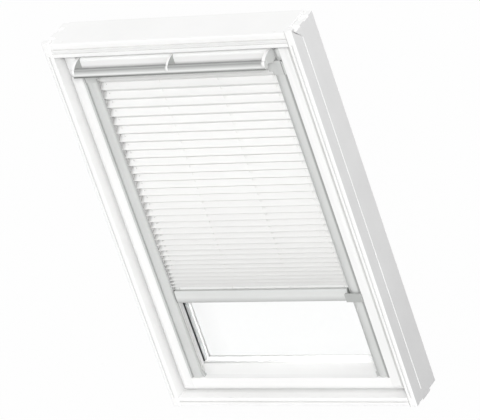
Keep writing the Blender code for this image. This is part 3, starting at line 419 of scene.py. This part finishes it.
JAMB_FACE = 0.3667
HEAD_FACE = 1.1316
SILL_FACE = 0.0313
SEAL_DEPTH = 0.0495
SIDE_LIP = 0.0045
HEAD_LIP = 0.0031
SILL_LIP = 0.0036
LIP_SECTION = ((0.0, 0.0), (1.0, 0.0010), (1.0, 0.0022), (0.35, 0.0034), (0.0, 0.0052))
END_GAP = 0.0004
# The same pale finish is painted on the blind rails' back lips as painted light.
soft_lip_and_painted_light = grained("soft_lip_and_painted_light", (0.80, 0.80, 0.79), (0.84, 0.84, 0.83), (0.60, 0.72), 1500, 0.00005)
for side_name, side in SIDES:
    lip = [(side * (JAMB_FACE - SIDE_LIP * out), ROOM_FACE + SEAL_DEPTH + back, SILL_FACE + END_GAP)
           for out, back in LIP_SECTION]
    placed(f"gap_seal_{side_name}", drawn(lip, (0, 0, HEAD_FACE - SILL_FACE - 2 * END_GAP)), soft_lip_and_painted_light, "frame")
for place_name, face_z, reach in (("head", HEAD_FACE, -HEAD_LIP), ("sill", SILL_FACE, SILL_LIP)):
    lip = [(SIDE_LIP - JAMB_FACE + END_GAP, ROOM_FACE + SEAL_DEPTH + back, face_z + reach * out)
           for out, back in LIP_SECTION]
    placed(f"gap_seal_{place_name}", drawn(lip, (2 * (JAMB_FACE - SIDE_LIP - END_GAP), 0, 0)), soft_lip_and_painted_light,
           "frame")

# Sash: moulded and lacquered like the frame, with a large round shoulder on its outer edge. The bottom rail's
# shoulder is carried on round the feet of the stiles. The slope on top of the bottom rail is painted whiter
# as painted light, and the right stile's shoulder greyer as painted shade.
SASH_ARRIS = 0.0008
HAIR = 0.0001
STILE_FOOT = 0.0363
SHOULDER_FRONT = 0.0255
SHOULDER_DEPTH = 0.0230
SHOULDER_RISE = 0.0217
SHOULDER_STEP_DEG = 15
SHOULDER_X = 0.3460


def cut(bm, place, direction):
    """Cut every face of a bmesh that crosses a plane."""
    bmesh.ops.bisect_plane(bm, geom=bm.verts[:] + bm.edges[:] + bm.faces[:], plane_co=place, plane_no=direction)


def shouldered_foot(bm):
    """Carry the bottom rail's shoulder on round the lower end of a stile."""
    shoulder_end = ROOM_FACE + SHOULDER_FRONT + SHOULDER_DEPTH
    for turn in range(SHOULDER_STEP_DEG, 90, SHOULDER_STEP_DEG):
        depth = SHOULDER_FRONT + SHOULDER_DEPTH * (1 - math.cos(math.radians(turn)))
        cut(bm, (0, ROOM_FACE + depth, 0), (0, 1, 0))
    cut(bm, (0, shoulder_end, 0), (0, 1, 0))
    for vert in bm.verts:
        forward = (shoulder_end - vert.co.y) / SHOULDER_DEPTH
        if vert.co.z < STILE_FOOT + HAIR and forward > 0:
            vert.co.z = STILE_FOOT + SHOULDER_RISE * (1 - math.sqrt(max(0, 1 - forward ** 2)))


def on_right_shoulder(middle, direction):
    return middle.x > SHOULDER_X and direction.x > 0.2


def faces_up(middle, direction):
    return direction.z > 0.9


# The right stile's shoulder is painted grey as painted shade.
shoulder_painted_shade = grained("shoulder_painted_shade", (0.60, 0.60, 0.59), (0.64, 0.64, 0.63), (0.40, 0.50), 900, 0.00004)
sash_lacquer = grained("sash_lacquer", (0.842, 0.842, 0.837), (0.860, 0.860, 0.856), (0.28, 0.38),
                       900, 0.00004, coat=0.15)
for side_name, _ in SIDES:
    stile = eased(f"sash_stile_{side_name}", f"stile_{side_name}_moulding", sash_lacquer,
                  SASH_ARRIS, worked=shouldered_foot)
    painted(stile, shoulder_painted_shade, on_right_shoulder)
# The upward faces of the bottom rail are painted whiter than the lacquer as painted light.
bevel_painted_light = grained("bevel_painted_light", (0.955, 0.955, 0.950), (0.975, 0.975, 0.970), (0.28, 0.38),
                        900, 0.00004, coat=0.15)
bottom_rail = eased("sash_bottom_rail", "bottom_rail_moulding", frame_lacquer, SASH_ARRIS)
painted(bottom_rail, bevel_painted_light, faces_up)
eased("sash_top_rail", "top_rail_moulding", frame_lacquer, SASH_ARRIS)

# Glazing beads: white silicone, laid as a slim bead over the gasket along the bottom rail, and pressed into
# the corner between the outer pane and the outside covers.
BEAD_HALF = 0.2998
BEAD = ((0.0830, 0.0931), (0.0842, 0.0931), (0.0842, 0.0991), (0.0838, 0.0991), (0.0830, 0.0965))
bead = [(-BEAD_HALF, ROOM_FACE + depth, z) for depth, z in BEAD]
silicone = grained("white_silicone", (0.94, 0.94, 0.93), (0.97, 0.97, 0.96), (0.35, 0.5), 600, 0.00008)
placed("bottom_bead", drawn(bead, (2 * BEAD_HALF, 0, 0)), silicone, "sash")
COVER_X = 0.2968
COVER_LOW = 0.0967
COVER_TOP = 1.0593
FILLET = ((0.0, 0.1101), (0.0028, 0.1101), (0.0018, 0.1115), (0.0008, 0.1190), (0.0, 0.1192))
FILLET_END = 0.0029
for side_name, side in SIDES:
    fillet = [(side * (COVER_X - inward), ROOM_FACE + depth, COVER_LOW) for inward, depth in FILLET]
    placed(f"pane_fillet_{side_name}", drawn(fillet, (0, 0, COVER_TOP - COVER_LOW)), silicone, "sash")
for place_name, z, inward_z in (("bottom", COVER_LOW, 1), ("top", COVER_TOP, -1)):
    fillet = [(-COVER_X + FILLET_END, ROOM_FACE + depth, z + inward_z * inward) for inward, depth in FILLET]
    placed(f"pane_fillet_{place_name}", drawn(fillet, (2 * (COVER_X - FILLET_END), 0, 0)), silicone, "sash")

# Sealed double glazing: two panes of clear float glass, bonded to a spacer round their edges. The spacer is
# bare metal on the room side, and white sealant covers it behind. Along the bottom it is painted white as
# painted light.
GLASS_TINT = (0.997, 1.0, 0.999)
GLASS_BEND = 1.25
GLASS_GLOSS = 0.12
FILM_ROUGHNESS = 0.012
glass = bpy.data.materials.new("float_glass")
glass.use_nodes = True
nodes, links = glass.node_tree.nodes, glass.node_tree.links
shader = nodes["Principled BSDF"]
shader.inputs["Base Color"].default_value = (*GLASS_TINT, 1)
shader.inputs["Transmission Weight"].default_value = 1.0
shader.inputs["IOR"].default_value = GLASS_BEND
shader.inputs["Specular IOR Level"].default_value = GLASS_GLOSS
film = nodes.new("ShaderNodeTexNoise")
film.inputs["Scale"].default_value = 14
film_gloss = nodes.new("ShaderNodeMapRange")
film_gloss.inputs["To Min"].default_value = 0.0
film_gloss.inputs["To Max"].default_value = FILM_ROUGHNESS
links.new(nodes.new("ShaderNodeTexCoord").outputs["Object"], film.inputs["Vector"])
links.new(film.outputs["Fac"], film_gloss.inputs["Value"])
links.new(film_gloss.outputs["Result"], shader.inputs["Roughness"])
for pane in ("inner", "outer"):
    sheet = eased(f"glass_{pane}_pane", f"{pane}_pane", glass, radius=0.0006, segments=2)
    sheet.visible_shadow = False

SPACER_JOIN = 0.1000
SPACER_SILL = 0.1001
spacer_metal = grained("spacer_metal", (0.45, 0.46, 0.46), (0.49, 0.50, 0.50), (0.32, 0.45), 700, 0.00005,
                       metallic=0.10)
# White where sealant covers the spacer behind, and painted white along its lower bar as painted light.
spacer_white_and_painted_light = grained("spacer_white_and_painted_light", (0.90, 0.90, 0.90), (0.93, 0.93, 0.93), (0.40, 0.55), 700, 0.00005)


def spacer_cut(bm):
    """Cut the spacer at the joint between its metal and its white part, and above its lower bar."""
    cut(bm, (0, ROOM_FACE + SPACER_JOIN, 0), (0, 1, 0))
    cut(bm, (0, 0, SPACER_SILL), (0, 0, 1))


def on_white_spacer(middle, direction):
    return middle.y - ROOM_FACE > SPACER_JOIN or middle.z < SPACER_SILL


spacer = eased("glass_spacer", "spacer_bar", spacer_metal, radius=0.0004, segments=2,
               worked=spacer_cut)
painted(spacer, spacer_white_and_painted_light, on_white_spacer)

# Pivot hinges, striker, lock and flap brackets: plates and a hook pressed from steel, zinc plated, and screwed
# to the frame and the sash.
zinc = grained("zinc_plate", (0.50, 0.50, 0.51), (0.60, 0.60, 0.61), (0.28, 0.42), 260, 0.00004,
               metallic=1.0, patch=60)
for node in ("hinge_plate_frame_left", "hinge_plate_frame_right", "hinge_plate_sash_left",
             "hinge_plate_sash_right", "lock_striker", "lock_case", "lock_hook", "flap_bracket_left",
             "flap_bracket_right"):
    eased(node, f"{node}_steel", zinc, radius=0.0003, segments=2)

# Outside covers: aluminium sheet, folded and lacquered dark grey. They clip over the outside of the frame and
# the sash and shed the rain.
cover_lacquer = grained("cover_lacquer", (0.145, 0.152, 0.160), (0.175, 0.182, 0.190), (0.42, 0.55),
                        2200, 0.00005, metallic=0.2)
for node in ("sash_cover_left", "sash_cover_right", "sash_cover_top", "sash_cover_bottom", "head_hood",
             "sill_cover", "jamb_cover_left", "jamb_cover_right"):
    eased(node, f"{node}_sheet", cover_lacquer, radius=0.0006, segments=2)

# Ventilation flap and its filter: the flap is a curled white sheet that turns with the control bar, and the
# filter a strip of open foam in the slot behind it.
foam = grained("filter_foam", (0.10, 0.105, 0.11), (0.30, 0.31, 0.32), (0.85, 0.95), 900, 0.0006, patch=420)
eased("vent_filter", "filter_strip", foam, radius=0.0008, segments=2)
# The flap's lacquer is painted darker towards its lower edge as painted shade.
FLAP_SHADE_TONES = ("Z", 1.086, 1.124, ((0.0, 0.36), (0.22, 0.48), (0.46, 0.96), (0.60, 1.0)))
flap_lacquer = grained("flap_lacquer", (0.905, 0.905, 0.900), (0.925, 0.925, 0.921), (0.28, 0.38),
                       900, 0.00004, coat=0.15, across=FLAP_SHADE_TONES)
eased("vent_flap", "flap_sheet", flap_lacquer, radius=0.0006)

# Control bar: an aluminium tube with moulded ends and a dark grey strip under it, carried on three white fins
# whose sides are painted grey as painted shade. The tube carries painted shade and a painted highlight. Each
# fin's nose wraps over the front of the bar.
# The tube is painted darker towards its top and its underside as painted shade, with a painted highlight line
# near its top.
GRIP_SHADE_AND_HIGHLIGHT_TONES = ("Z", 1.0895, 1.1110, ((0.0, 0.28), (0.12, 0.55), (0.32, 1.0), (0.62, 0.68), (0.90, 0.36),
                                    (0.955, 0.58), (1.0, 0.38)))
DRAWN_ALONG_X = (0.02, 1, 1)
grip_metal = grained("grip_metal", (0.82, 0.83, 0.82), (0.85, 0.86, 0.85), (0.38, 0.50), 420, 0.00004,
                     stretch=DRAWN_ALONG_X, metallic=0.30, across=GRIP_SHADE_AND_HIGHLIGHT_TONES)
fin_side_painted_shade = grained("fin_side_painted_shade", (0.40, 0.41, 0.40), (0.44, 0.45, 0.44), (0.42, 0.54), 1500, 0.00006)
end_grey = grained("end_grey", (0.61, 0.62, 0.61), (0.65, 0.66, 0.65), (0.42, 0.54), 1500, 0.00006)
eased("control_bar", "grip_tube", grip_metal, radius=0.0005)
for side_name, _ in SIDES:
    eased(f"control_bar_cap_{side_name}", f"grip_cap_{side_name}", end_grey, radius=0.0006)

# A dark grey strip runs under the tube, along its lower front edge, and darkens the line beneath it.
dark_grip_strip = grained("dark_grip_strip", (0.26, 0.27, 0.26), (0.30, 0.31, 0.30), (0.60, 0.72), 1800, 0.00006)
PAD_HALF = 0.2985
PAD = ((-0.0334, 1.0894), (-0.0336, 1.0876), (-0.0322, 1.0866), (-0.0226, 1.0866), (-0.0212, 1.0876),
       (-0.0212, 1.0894))
pad = drawn([(-PAD_HALF, ROOM_FACE + depth, z) for depth, z in PAD], (2 * PAD_HALF, 0, 0))
placed("dark_grip_strip", pad, dark_grip_strip, "control")

FINS = (("left", -0.3018, -0.2922), ("right", 0.2922, 0.3018), ("middle", -0.0035, 0.0035))
OUTER_END_X = 0.3000
NOSE = ((-0.0280, 1.1114), (-0.0318, 1.1100), (-0.0345, 1.1066), (-0.0356, 1.1022), (-0.0356, 1.0972),
        (-0.0342, 1.0964), (-0.0342, 1.1012), (-0.0330, 1.1066), (-0.0306, 1.1099), (-0.0280, 1.1111))


def on_fin_side(middle, direction):
    return abs(direction.x) > 0.8


def on_outer_end(middle, direction):
    return abs(middle.x) > OUTER_END_X and abs(direction.x) > 0.8


# The fins' sides are painted grey as painted shade, and the outer ends of the outer fins a lighter grey as
# painted shade.
for part, low_x, high_x in FINS:
    fin = eased(f"control_bar_fin_{part}", f"grip_fin_{part}", sash_lacquer, SASH_ARRIS)
    painted(fin, fin_side_painted_shade, on_fin_side)
    painted(fin, end_grey, on_outer_end)
    nose = drawn([(low_x, ROOM_FACE + depth, z) for depth, z in NOSE], (high_x - low_x, 0, 0))
    placed(f"fin_nose_{part}", nose, sash_lacquer, "control")

# End blocks: two grey plastic mouldings, screwed to the top rail. Each fills the corner between the control
# bar's outer fin and the stile beside it.
BLOCK_IN = 0.3036
BLOCK_OUT = 0.3176
BLOCK = ((0.0262, 1.0816), (0.0262, 1.1105), (0.0300, 1.1165), (0.0458, 1.1165), (0.0458, 1.0816))
for side_name, side in SIDES:
    block = [(side * BLOCK_IN, ROOM_FACE + depth, z) for depth, z in BLOCK]
    placed(f"end_block_{side_name}", drawn(block, (side * (BLOCK_OUT - BLOCK_IN), 0, 0)), end_grey, "sash")

# Blind's rails: two side rails and a head rail of extruded aluminium, joined by moulded elbows and held to the
# sash by moulded clips at the foot. The side rails and elbows are painted lighter and darker across their
# section as painted shade and painted highlights, a dark line of painted shade runs down the bottom of each
# side rail's groove, and its back lip is painted pale as painted light.
RAIL_IN = 0.2787
RAIL_OUT = 0.3177
# The rails are painted darker at their edges and lighter along the crest, as painted shade and painted
# highlights.
RAIL_SHADE_AND_HIGHLIGHT_TONES = {"left": ((0.0, 0.76), (0.10, 0.92), (0.45, 0.94), (0.74, 1.0), (0.84, 0.80), (0.90, 1.0)),
              "right": ((0.0, 0.76), (0.10, 0.92), (0.45, 0.98), (0.72, 0.98), (0.84, 0.62), (1.0, 0.50))}
# The elbows carry the same painted highlight along the crest and a dark band of painted shade at the groove.
ELBOW_SHADE_AND_HIGHLIGHT_TONES = ((0.0, 0.96), (0.45, 0.94), (0.74, 1.0), (0.795, 0.92), (0.800, 0.42), (0.850, 0.42),
               (0.855, 0.94))
DRAWN_ALONG_Z = (1, 1, 0.02)
bar_metal = grained("bar_metal", (0.60, 0.61, 0.60), (0.63, 0.64, 0.63), (0.36, 0.50), 420, 0.00004,
                    stretch=DRAWN_ALONG_X, metallic=0.30)
rail_metal = {side_name: grained(f"rail_metal_{side_name}", (0.63, 0.64, 0.63), (0.66, 0.67, 0.66),
                                 (0.38, 0.50), 420, 0.00004, stretch=DRAWN_ALONG_Z, metallic=0.30,
                                 across=("X", RAIL_IN, RAIL_OUT, tones))
              for side_name, tones in RAIL_SHADE_AND_HIGHLIGHT_TONES.items()}
# The bottom of each side rail's groove is painted dark grey as painted shade.
groove_line_painted_shade = grained("groove_line_painted_shade", (0.45, 0.46, 0.45), (0.49, 0.50, 0.49), (0.60, 0.75), 1500, 0.00006)
elbow_grey = grained("elbow_grey", (0.58, 0.59, 0.58), (0.61, 0.62, 0.61), (0.42, 0.54), 1500, 0.00006,
                     across=("X", RAIL_IN, RAIL_OUT, ELBOW_SHADE_AND_HIGHLIGHT_TONES))
grey_moulding = grained("grey_moulding", (0.50, 0.51, 0.50), (0.54, 0.55, 0.54), (0.42, 0.54), 1500, 0.00006)

INNER_CORNER_Z = 1.0490
INNER_BEND_X = (0.2685, RAIL_IN + HAIR)
INNER_BEND_Z = (1.0390, INNER_CORNER_Z + HAIR)
INNER_TIGHTER = 0.45
ELBOW_R = 0.0130
ELBOW_TOP = 1.0803
BACK_LIP_X = 0.2800
BACK_LIP_DEPTH = 0.0430
RAIL_GROOVE_X = (0.3098, 0.3122)
RAIL_GROOVE_DEPTH = 0.0262
RAIL_ARRIS = 0.0004


def rounded_elbow(bm):
    """Tighten the elbow's inner corner and round the outer one, where the side rail meets the head rail."""
    for vert in bm.verts:
        x, z = abs(vert.co.x), vert.co.z
        if between(x, INNER_BEND_X) and between(z, INNER_BEND_Z):
            vert.co.x = math.copysign(RAIL_IN + (x - RAIL_IN) * INNER_TIGHTER, vert.co.x)
            vert.co.z = INNER_CORNER_Z + (z - INNER_CORNER_Z) * INNER_TIGHTER
    corner = [e for e in bm.edges
              if all(abs(v.co.x) > RAIL_OUT - 2 * HAIR and v.co.z > ELBOW_TOP - 2 * HAIR for v in e.verts)]
    bmesh.ops.bevel(bm, geom=corner, offset=ELBOW_R, offset_type="OFFSET", affect="EDGES", segments=8,
                    profile=0.5, clamp_overlap=True, material=-1)


# The rails' back lips are painted pale as painted light.
def on_back_lip(middle, direction):
    return abs(middle.x) < BACK_LIP_X and middle.y - ROOM_FACE > BACK_LIP_DEPTH and abs(direction.y) < 0.9


def in_rail_groove(middle, direction):
    return between(abs(middle.x), RAIL_GROOVE_X) and middle.y - ROOM_FACE > RAIL_GROOVE_DEPTH


for side_name, _ in SIDES:
    rail = eased(f"blind_rail_{side_name}", f"side_rail_{side_name}", rail_metal[side_name],
                 RAIL_ARRIS)
    painted(rail, groove_line_painted_shade, in_rail_groove)
    painted(rail, soft_lip_and_painted_light, on_back_lip)
    eased(f"blind_corner_{side_name}", f"elbow_{side_name}", elbow_grey, radius=0.0012,
          segments=4, worked=rounded_elbow)
    eased(f"blind_foot_{side_name}", f"foot_clip_{side_name}", grey_moulding, radius=0.0005)
eased("blind_head_rail", "head_rail", bar_metal, RAIL_ARRIS)

# Bottom bar: an extruded aluminium tube with moulded caps in its ends. Two white plastic glides carry it in the
# slots of the side rails, and a moulded slider on it works its latch.
# The tube is painted darker towards its lower edge as painted shade, brightest across its middle.
BAR_SHADE_TONES = ("Z", 0.32845, 0.36645, ((0.0, 0.60), (0.12, 0.76), (0.5, 0.96), (1.0, 0.88)))
drawn_metal = grained("drawn_metal", (0.72, 0.73, 0.72), (0.75, 0.76, 0.75), (0.38, 0.50), 420, 0.00004,
                      stretch=DRAWN_ALONG_X, metallic=0.30, across=BAR_SHADE_TONES)
cap_grey = grained("cap_grey", (0.17, 0.18, 0.17), (0.21, 0.22, 0.21), (0.50, 0.62), 1500, 0.00006)
slider_grey = grained("slider_grey", (0.40, 0.41, 0.40), (0.44, 0.45, 0.44), (0.42, 0.54), 1500, 0.00006)
for side_name, _ in SIDES:
    eased(f"blind_glide_{side_name}", f"glide_{side_name}", moulded_white, radius=0.0006)
    eased(f"bottom_bar_cap_{side_name}", f"bar_cap_{side_name}", cap_grey, radius=0.0006)
eased("bottom_bar", "bottom_bar_tube", drawn_metal, radius=0.0005)
eased("bar_latch_slider", "latch_slider", slider_grey, radius=0.0010, segments=4)

# Slot brushes: two rows of pale pile close the slot on the inner side of each rail, and part for the glide.
# The pile is woven on a backing that slides into the slot.
# Higher up the rails, behind the cloth, the pile is painted darker as painted shade.
PILE_SHADE_TONES = ("Z", 0.0, 1.18, ((0.0, 1.0), (0.36, 1.0), (0.50, 0.74), (0.65, 0.62)))
BRUSHES = (("front", 0.0366, 0.0399), ("back", 0.0436, 0.0403))
ROOT_X = (0.2794, 0.2812)
TIP_X = (0.2806, 0.2798)
BRUSH_LOW = 0.0944
BRUSH_TOP = 1.0374
pile = grained("slot_pile", (0.88, 0.88, 0.87), (0.95, 0.95, 0.94), (0.85, 0.95), 2600, 0.0002,
               stretch=(1, 1, 0.5), patch=900, across=PILE_SHADE_TONES)
for side_name, side in SIDES:
    for row, root, tip in BRUSHES:
        outline = [(x, root) for x in ROOT_X] + [(x, tip) for x in TIP_X]
        tuft = [(side * x, ROOM_FACE + depth, BRUSH_LOW) for x, depth in outline]
        placed(f"slot_brush_{side_name}_{row}", drawn(tuft, (0, 0, BRUSH_TOP - BRUSH_LOW)), pile, "sash")

# Tension cords: one braided white cord in each side rail, held taut between the foot clip and the elbow. They
# keep the bottom bar level.
cord_braid = grained("cord_braid", (0.74, 0.74, 0.72), (0.82, 0.82, 0.80), (0.75, 0.9), 2400, 0.0001)
for side_name, _ in SIDES:
    eased(f"tension_cord_{side_name}", f"cord_{side_name}", cord_braid, radius=0.0001,
          segments=1, least_deg=60)

# Pleated cloth: one strip of white polyester, folded every 20 mm and hung from the head rail to the bottom bar.
# Its folds close up towards the foot, and slots behind the middle of each panel let the lifting cords through.
# The undersides of the pleats are painted darker as painted shade.
PLEATS = 33
PANEL = 0.020
PITCH_TOP = 0.0282
PITCH_FALL = 0.0195
PITCH_BEND = 1.45
CLOTH_DEPTH = 0.040
CLOTH_T = 0.0004
CLOTH_HALF = 0.2781
FIRST_FOLD_DROP = 0.00975
CLOTH_COLUMNS = 44
CORD_AT = (-0.262, -0.091, 0.091, 0.262)
SLOT_HALF = 0.0012
SLOT_HEIGHTS = (0.0020, 0.0024)
SLOT_BEHIND = 0.001
WAVE = (0.0006, 9, 11, 0.3)
LIFT = (0.0004, 5, 23, 4.1)
EVEN_END = 0.02
CLOTH_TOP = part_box("blind_head_rail")[0][2] - CLOTH_T
CLOTH_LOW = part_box("bottom_bar")[1][2] + CLOTH_T
PANEL_STEPS = (0.035, 0.20, 0.31, 0.50, 0.69, 0.80, 0.965, 1.0)

fold_line = [(CLOTH_DEPTH, CLOTH_TOP)]
fold_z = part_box("blind_head_rail")[0][2] - FIRST_FOLD_DROP
for i in range(PLEATS):
    pitch = PITCH_TOP - PITCH_FALL * ((i + 0.5) / PLEATS) ** PITCH_BEND
    half = math.sqrt(PANEL ** 2 - (pitch / 2) ** 2) / 2
    fold_line += [(CLOTH_DEPTH - half, fold_z), (CLOTH_DEPTH + half, fold_z - pitch / 2)]
    fold_z -= pitch
fold_line.append((CLOTH_DEPTH, CLOTH_LOW))

bm = bmesh.new()
along = bm.verts.layers.float.new("along")
ends = [bm.verts.new((x, ROOM_FACE + fold_line[0][0], fold_line[0][1])) for x in (-CLOTH_HALF, CLOTH_HALF)]
edge = bm.edges.new(ends)
strip_at = 0.0
for (depth_a, z_a), (depth_b, z_b) in zip(fold_line, fold_line[1:]):
    length = math.hypot(depth_b - depth_a, z_b - z_a)
    done = 0.0
    for step in PANEL_STEPS:
        made = bmesh.ops.extrude_edge_only(bm, edges=[edge])["geom"]
        new = [v for v in made if isinstance(v, bmesh.types.BMVert)]
        shift = Vector((0, (depth_b - depth_a) * (step - done), (z_b - z_a) * (step - done)))
        bmesh.ops.translate(bm, verts=new, vec=shift)
        edge = next(e for e in made if isinstance(e, bmesh.types.BMEdge) and set(e.verts) == set(new))
        strip_at += length * (step - done)
        for vert in new:
            vert[along] = strip_at
        done = step

columns = [CLOTH_HALF * (2 * i / CLOTH_COLUMNS - 1) for i in range(1, CLOTH_COLUMNS)]
columns += [x + s * SLOT_HALF for x in CORD_AT for s in (-1, 1)]
for x in columns:
    cut(bm, (x, 0, 0), (1, 0, 0))
slots = []
for face in bm.faces:
    middle = face.calc_center_median()
    near_cord = any(abs(middle.x - x) < SLOT_HALF for x in CORD_AT)
    low, high = sorted(v[along] for v in face.verts)[::3]
    behind_middle = middle.y - ROOM_FACE > CLOTH_DEPTH + SLOT_BEHIND
    if near_cord and behind_middle and between(high - low, SLOT_HEIGHTS):
        slots.append(face)
bmesh.ops.delete(bm, geom=slots, context="FACES")


def uneven(vert, most, across, down, variant):
    """How far the cloth's unevenness moves a point, from its place on the strip."""
    return most * noise.noise(Vector((vert.co.x * across, vert[along] * down, variant)))


for vert in bm.verts:
    share = min(1, (CLOTH_TOP - vert.co.z) / EVEN_END, (vert.co.z - CLOTH_LOW) / EVEN_END)
    vert.co.y += uneven(vert, *WAVE) * share
    vert.co.z += uneven(vert, *LIFT) * share
uv = bm.loops.layers.uv.new("strip")
for face in bm.faces:
    for loop in face.loops:
        loop[uv].uv = (loop.vert.co.x, loop.vert[along])
bmesh.ops.recalc_face_normals(bm, faces=bm.faces)
bmesh.ops.solidify(bm, geom=bm.faces[:], thickness=CLOTH_T)
bmesh.ops.recalc_face_normals(bm, faces=bm.faces)

CLOTH_TONES = ((0.3, (0.968, 0.968, 0.960)), (0.7, (0.982, 0.982, 0.975)))
UNDERSIDE_PAINTED_SHADE = (0.94, 0.94, 0.94)
THREAD_SCALE = 520
SLUB_SCALE = (30, 900, 1)
LIGHT_THROUGH = 0.22
cloth_weave = bpy.data.materials.new("cloth_weave")
cloth_weave.use_nodes = True
nodes, links = cloth_weave.node_tree.nodes, cloth_weave.node_tree.links
shader = nodes["Principled BSDF"]
shader.inputs["Roughness"].default_value = 0.85
shader.inputs["Sheen Weight"].default_value = 0.15
strip = nodes.new("ShaderNodeUVMap")
strip.uv_map = "strip"
threads = []
for direction in ("X", "Y"):
    thread = nodes.new("ShaderNodeTexWave")
    thread.bands_direction = direction
    thread.inputs["Scale"].default_value = THREAD_SCALE
    thread.inputs["Distortion"].default_value = 0.6
    thread.inputs["Detail"].default_value = 1
    links.new(strip.outputs["UV"], thread.inputs["Vector"])
    threads.append(thread.outputs["Fac"])
slub_run = nodes.new("ShaderNodeMapping")
slub_run.inputs["Scale"].default_value = SLUB_SCALE
links.new(strip.outputs["UV"], slub_run.inputs["Vector"])
slub = nodes.new("ShaderNodeTexNoise")
slub.inputs["Scale"].default_value = 1
slub.inputs["Detail"].default_value = 4
links.new(slub_run.outputs["Vector"], slub.inputs["Vector"])
place_along = nodes.new("ShaderNodeSeparateXYZ")
links.new(strip.outputs["UV"], place_along.inputs[0])
panels_done = nodes.new("ShaderNodeMapRange")
panels_done.clamp = False
first_panel = math.dist(fold_line[0], fold_line[1])
panels_done.inputs["From Min"].default_value = first_panel
panels_done.inputs["From Max"].default_value = first_panel + 2 * PANEL
links.new(place_along.outputs["Y"], panels_done.inputs["Value"])
pleat_share = reckoned(nodes, links, "FRACT", panels_done.outputs["Result"])
pleat_tone_and_shade = multiplied(nodes, links, toned(nodes, links, slub.outputs["Fac"], CLOTH_TONES))
pleat_tone_and_shade.inputs[7].default_value = (*UNDERSIDE_PAINTED_SHADE, 1)
links.new(reckoned(nodes, links, "LESS_THAN", pleat_share, 0.5), pleat_tone_and_shade.inputs[0])
links.new(pleat_tone_and_shade.outputs[2], shader.inputs["Base Color"])
bump = nodes.new("ShaderNodeBump")
bump.inputs["Strength"].default_value = 0.3
bump.inputs["Distance"].default_value = 0.0001
links.new(reckoned(nodes, links, "ADD", *threads), bump.inputs["Height"])
links.new(bump.outputs["Normal"], shader.inputs["Normal"])
through = nodes.new("ShaderNodeBsdfTranslucent")
links.new(pleat_tone_and_shade.outputs[2], through.inputs["Color"])
links.new(bump.outputs["Normal"], through.inputs["Normal"])
thin = nodes.new("ShaderNodeMixShader")
thin.inputs[0].default_value = LIGHT_THROUGH
links.new(shader.outputs[0], thin.inputs[1])
links.new(through.outputs[0], thin.inputs[2])
links.new(thin.outputs[0], nodes["Material Output"].inputs["Surface"])

cloth = placed("pleated_strip", bm, cloth_weave, None, ["pleated_cloth"])
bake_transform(cloth)

# Lifting cords: four thin white cords run straight through the slots in the folds, from the head rail to the
# bottom bar, and stay taut as the blind moves.
LIFT_CORD_R = 0.00045
LIFT_CORD_DEPTH = CLOTH_DEPTH + 0.0036
LIFT_CORD_STEPS = 40
for number, x in enumerate(CORD_AT, start=1):
    bm = bmesh.new()
    ring = bmesh.ops.create_circle(bm, cap_ends=True, radius=LIFT_CORD_R, segments=8)["verts"]
    bmesh.ops.translate(bm, verts=ring, vec=(x, ROOM_FACE + LIFT_CORD_DEPTH, CLOTH_TOP))
    made = bmesh.ops.extrude_face_region(bm, geom=bm.faces[:])["geom"]
    bmesh.ops.translate(bm, verts=[v for v in made if isinstance(v, bmesh.types.BMVert)],
                        vec=(0, 0, CLOTH_LOW - CLOTH_TOP))
    for step in range(1, LIFT_CORD_STEPS):
        cut(bm, (0, 0, CLOTH_TOP + (CLOTH_LOW - CLOTH_TOP) * step / LIFT_CORD_STEPS), (0, 0, 1))
    bmesh.ops.recalc_face_normals(bm, faces=bm.faces)
    lift_cord = placed(f"lifting_cord_{number}", bm, cord_braid, None)
    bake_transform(lift_cord)
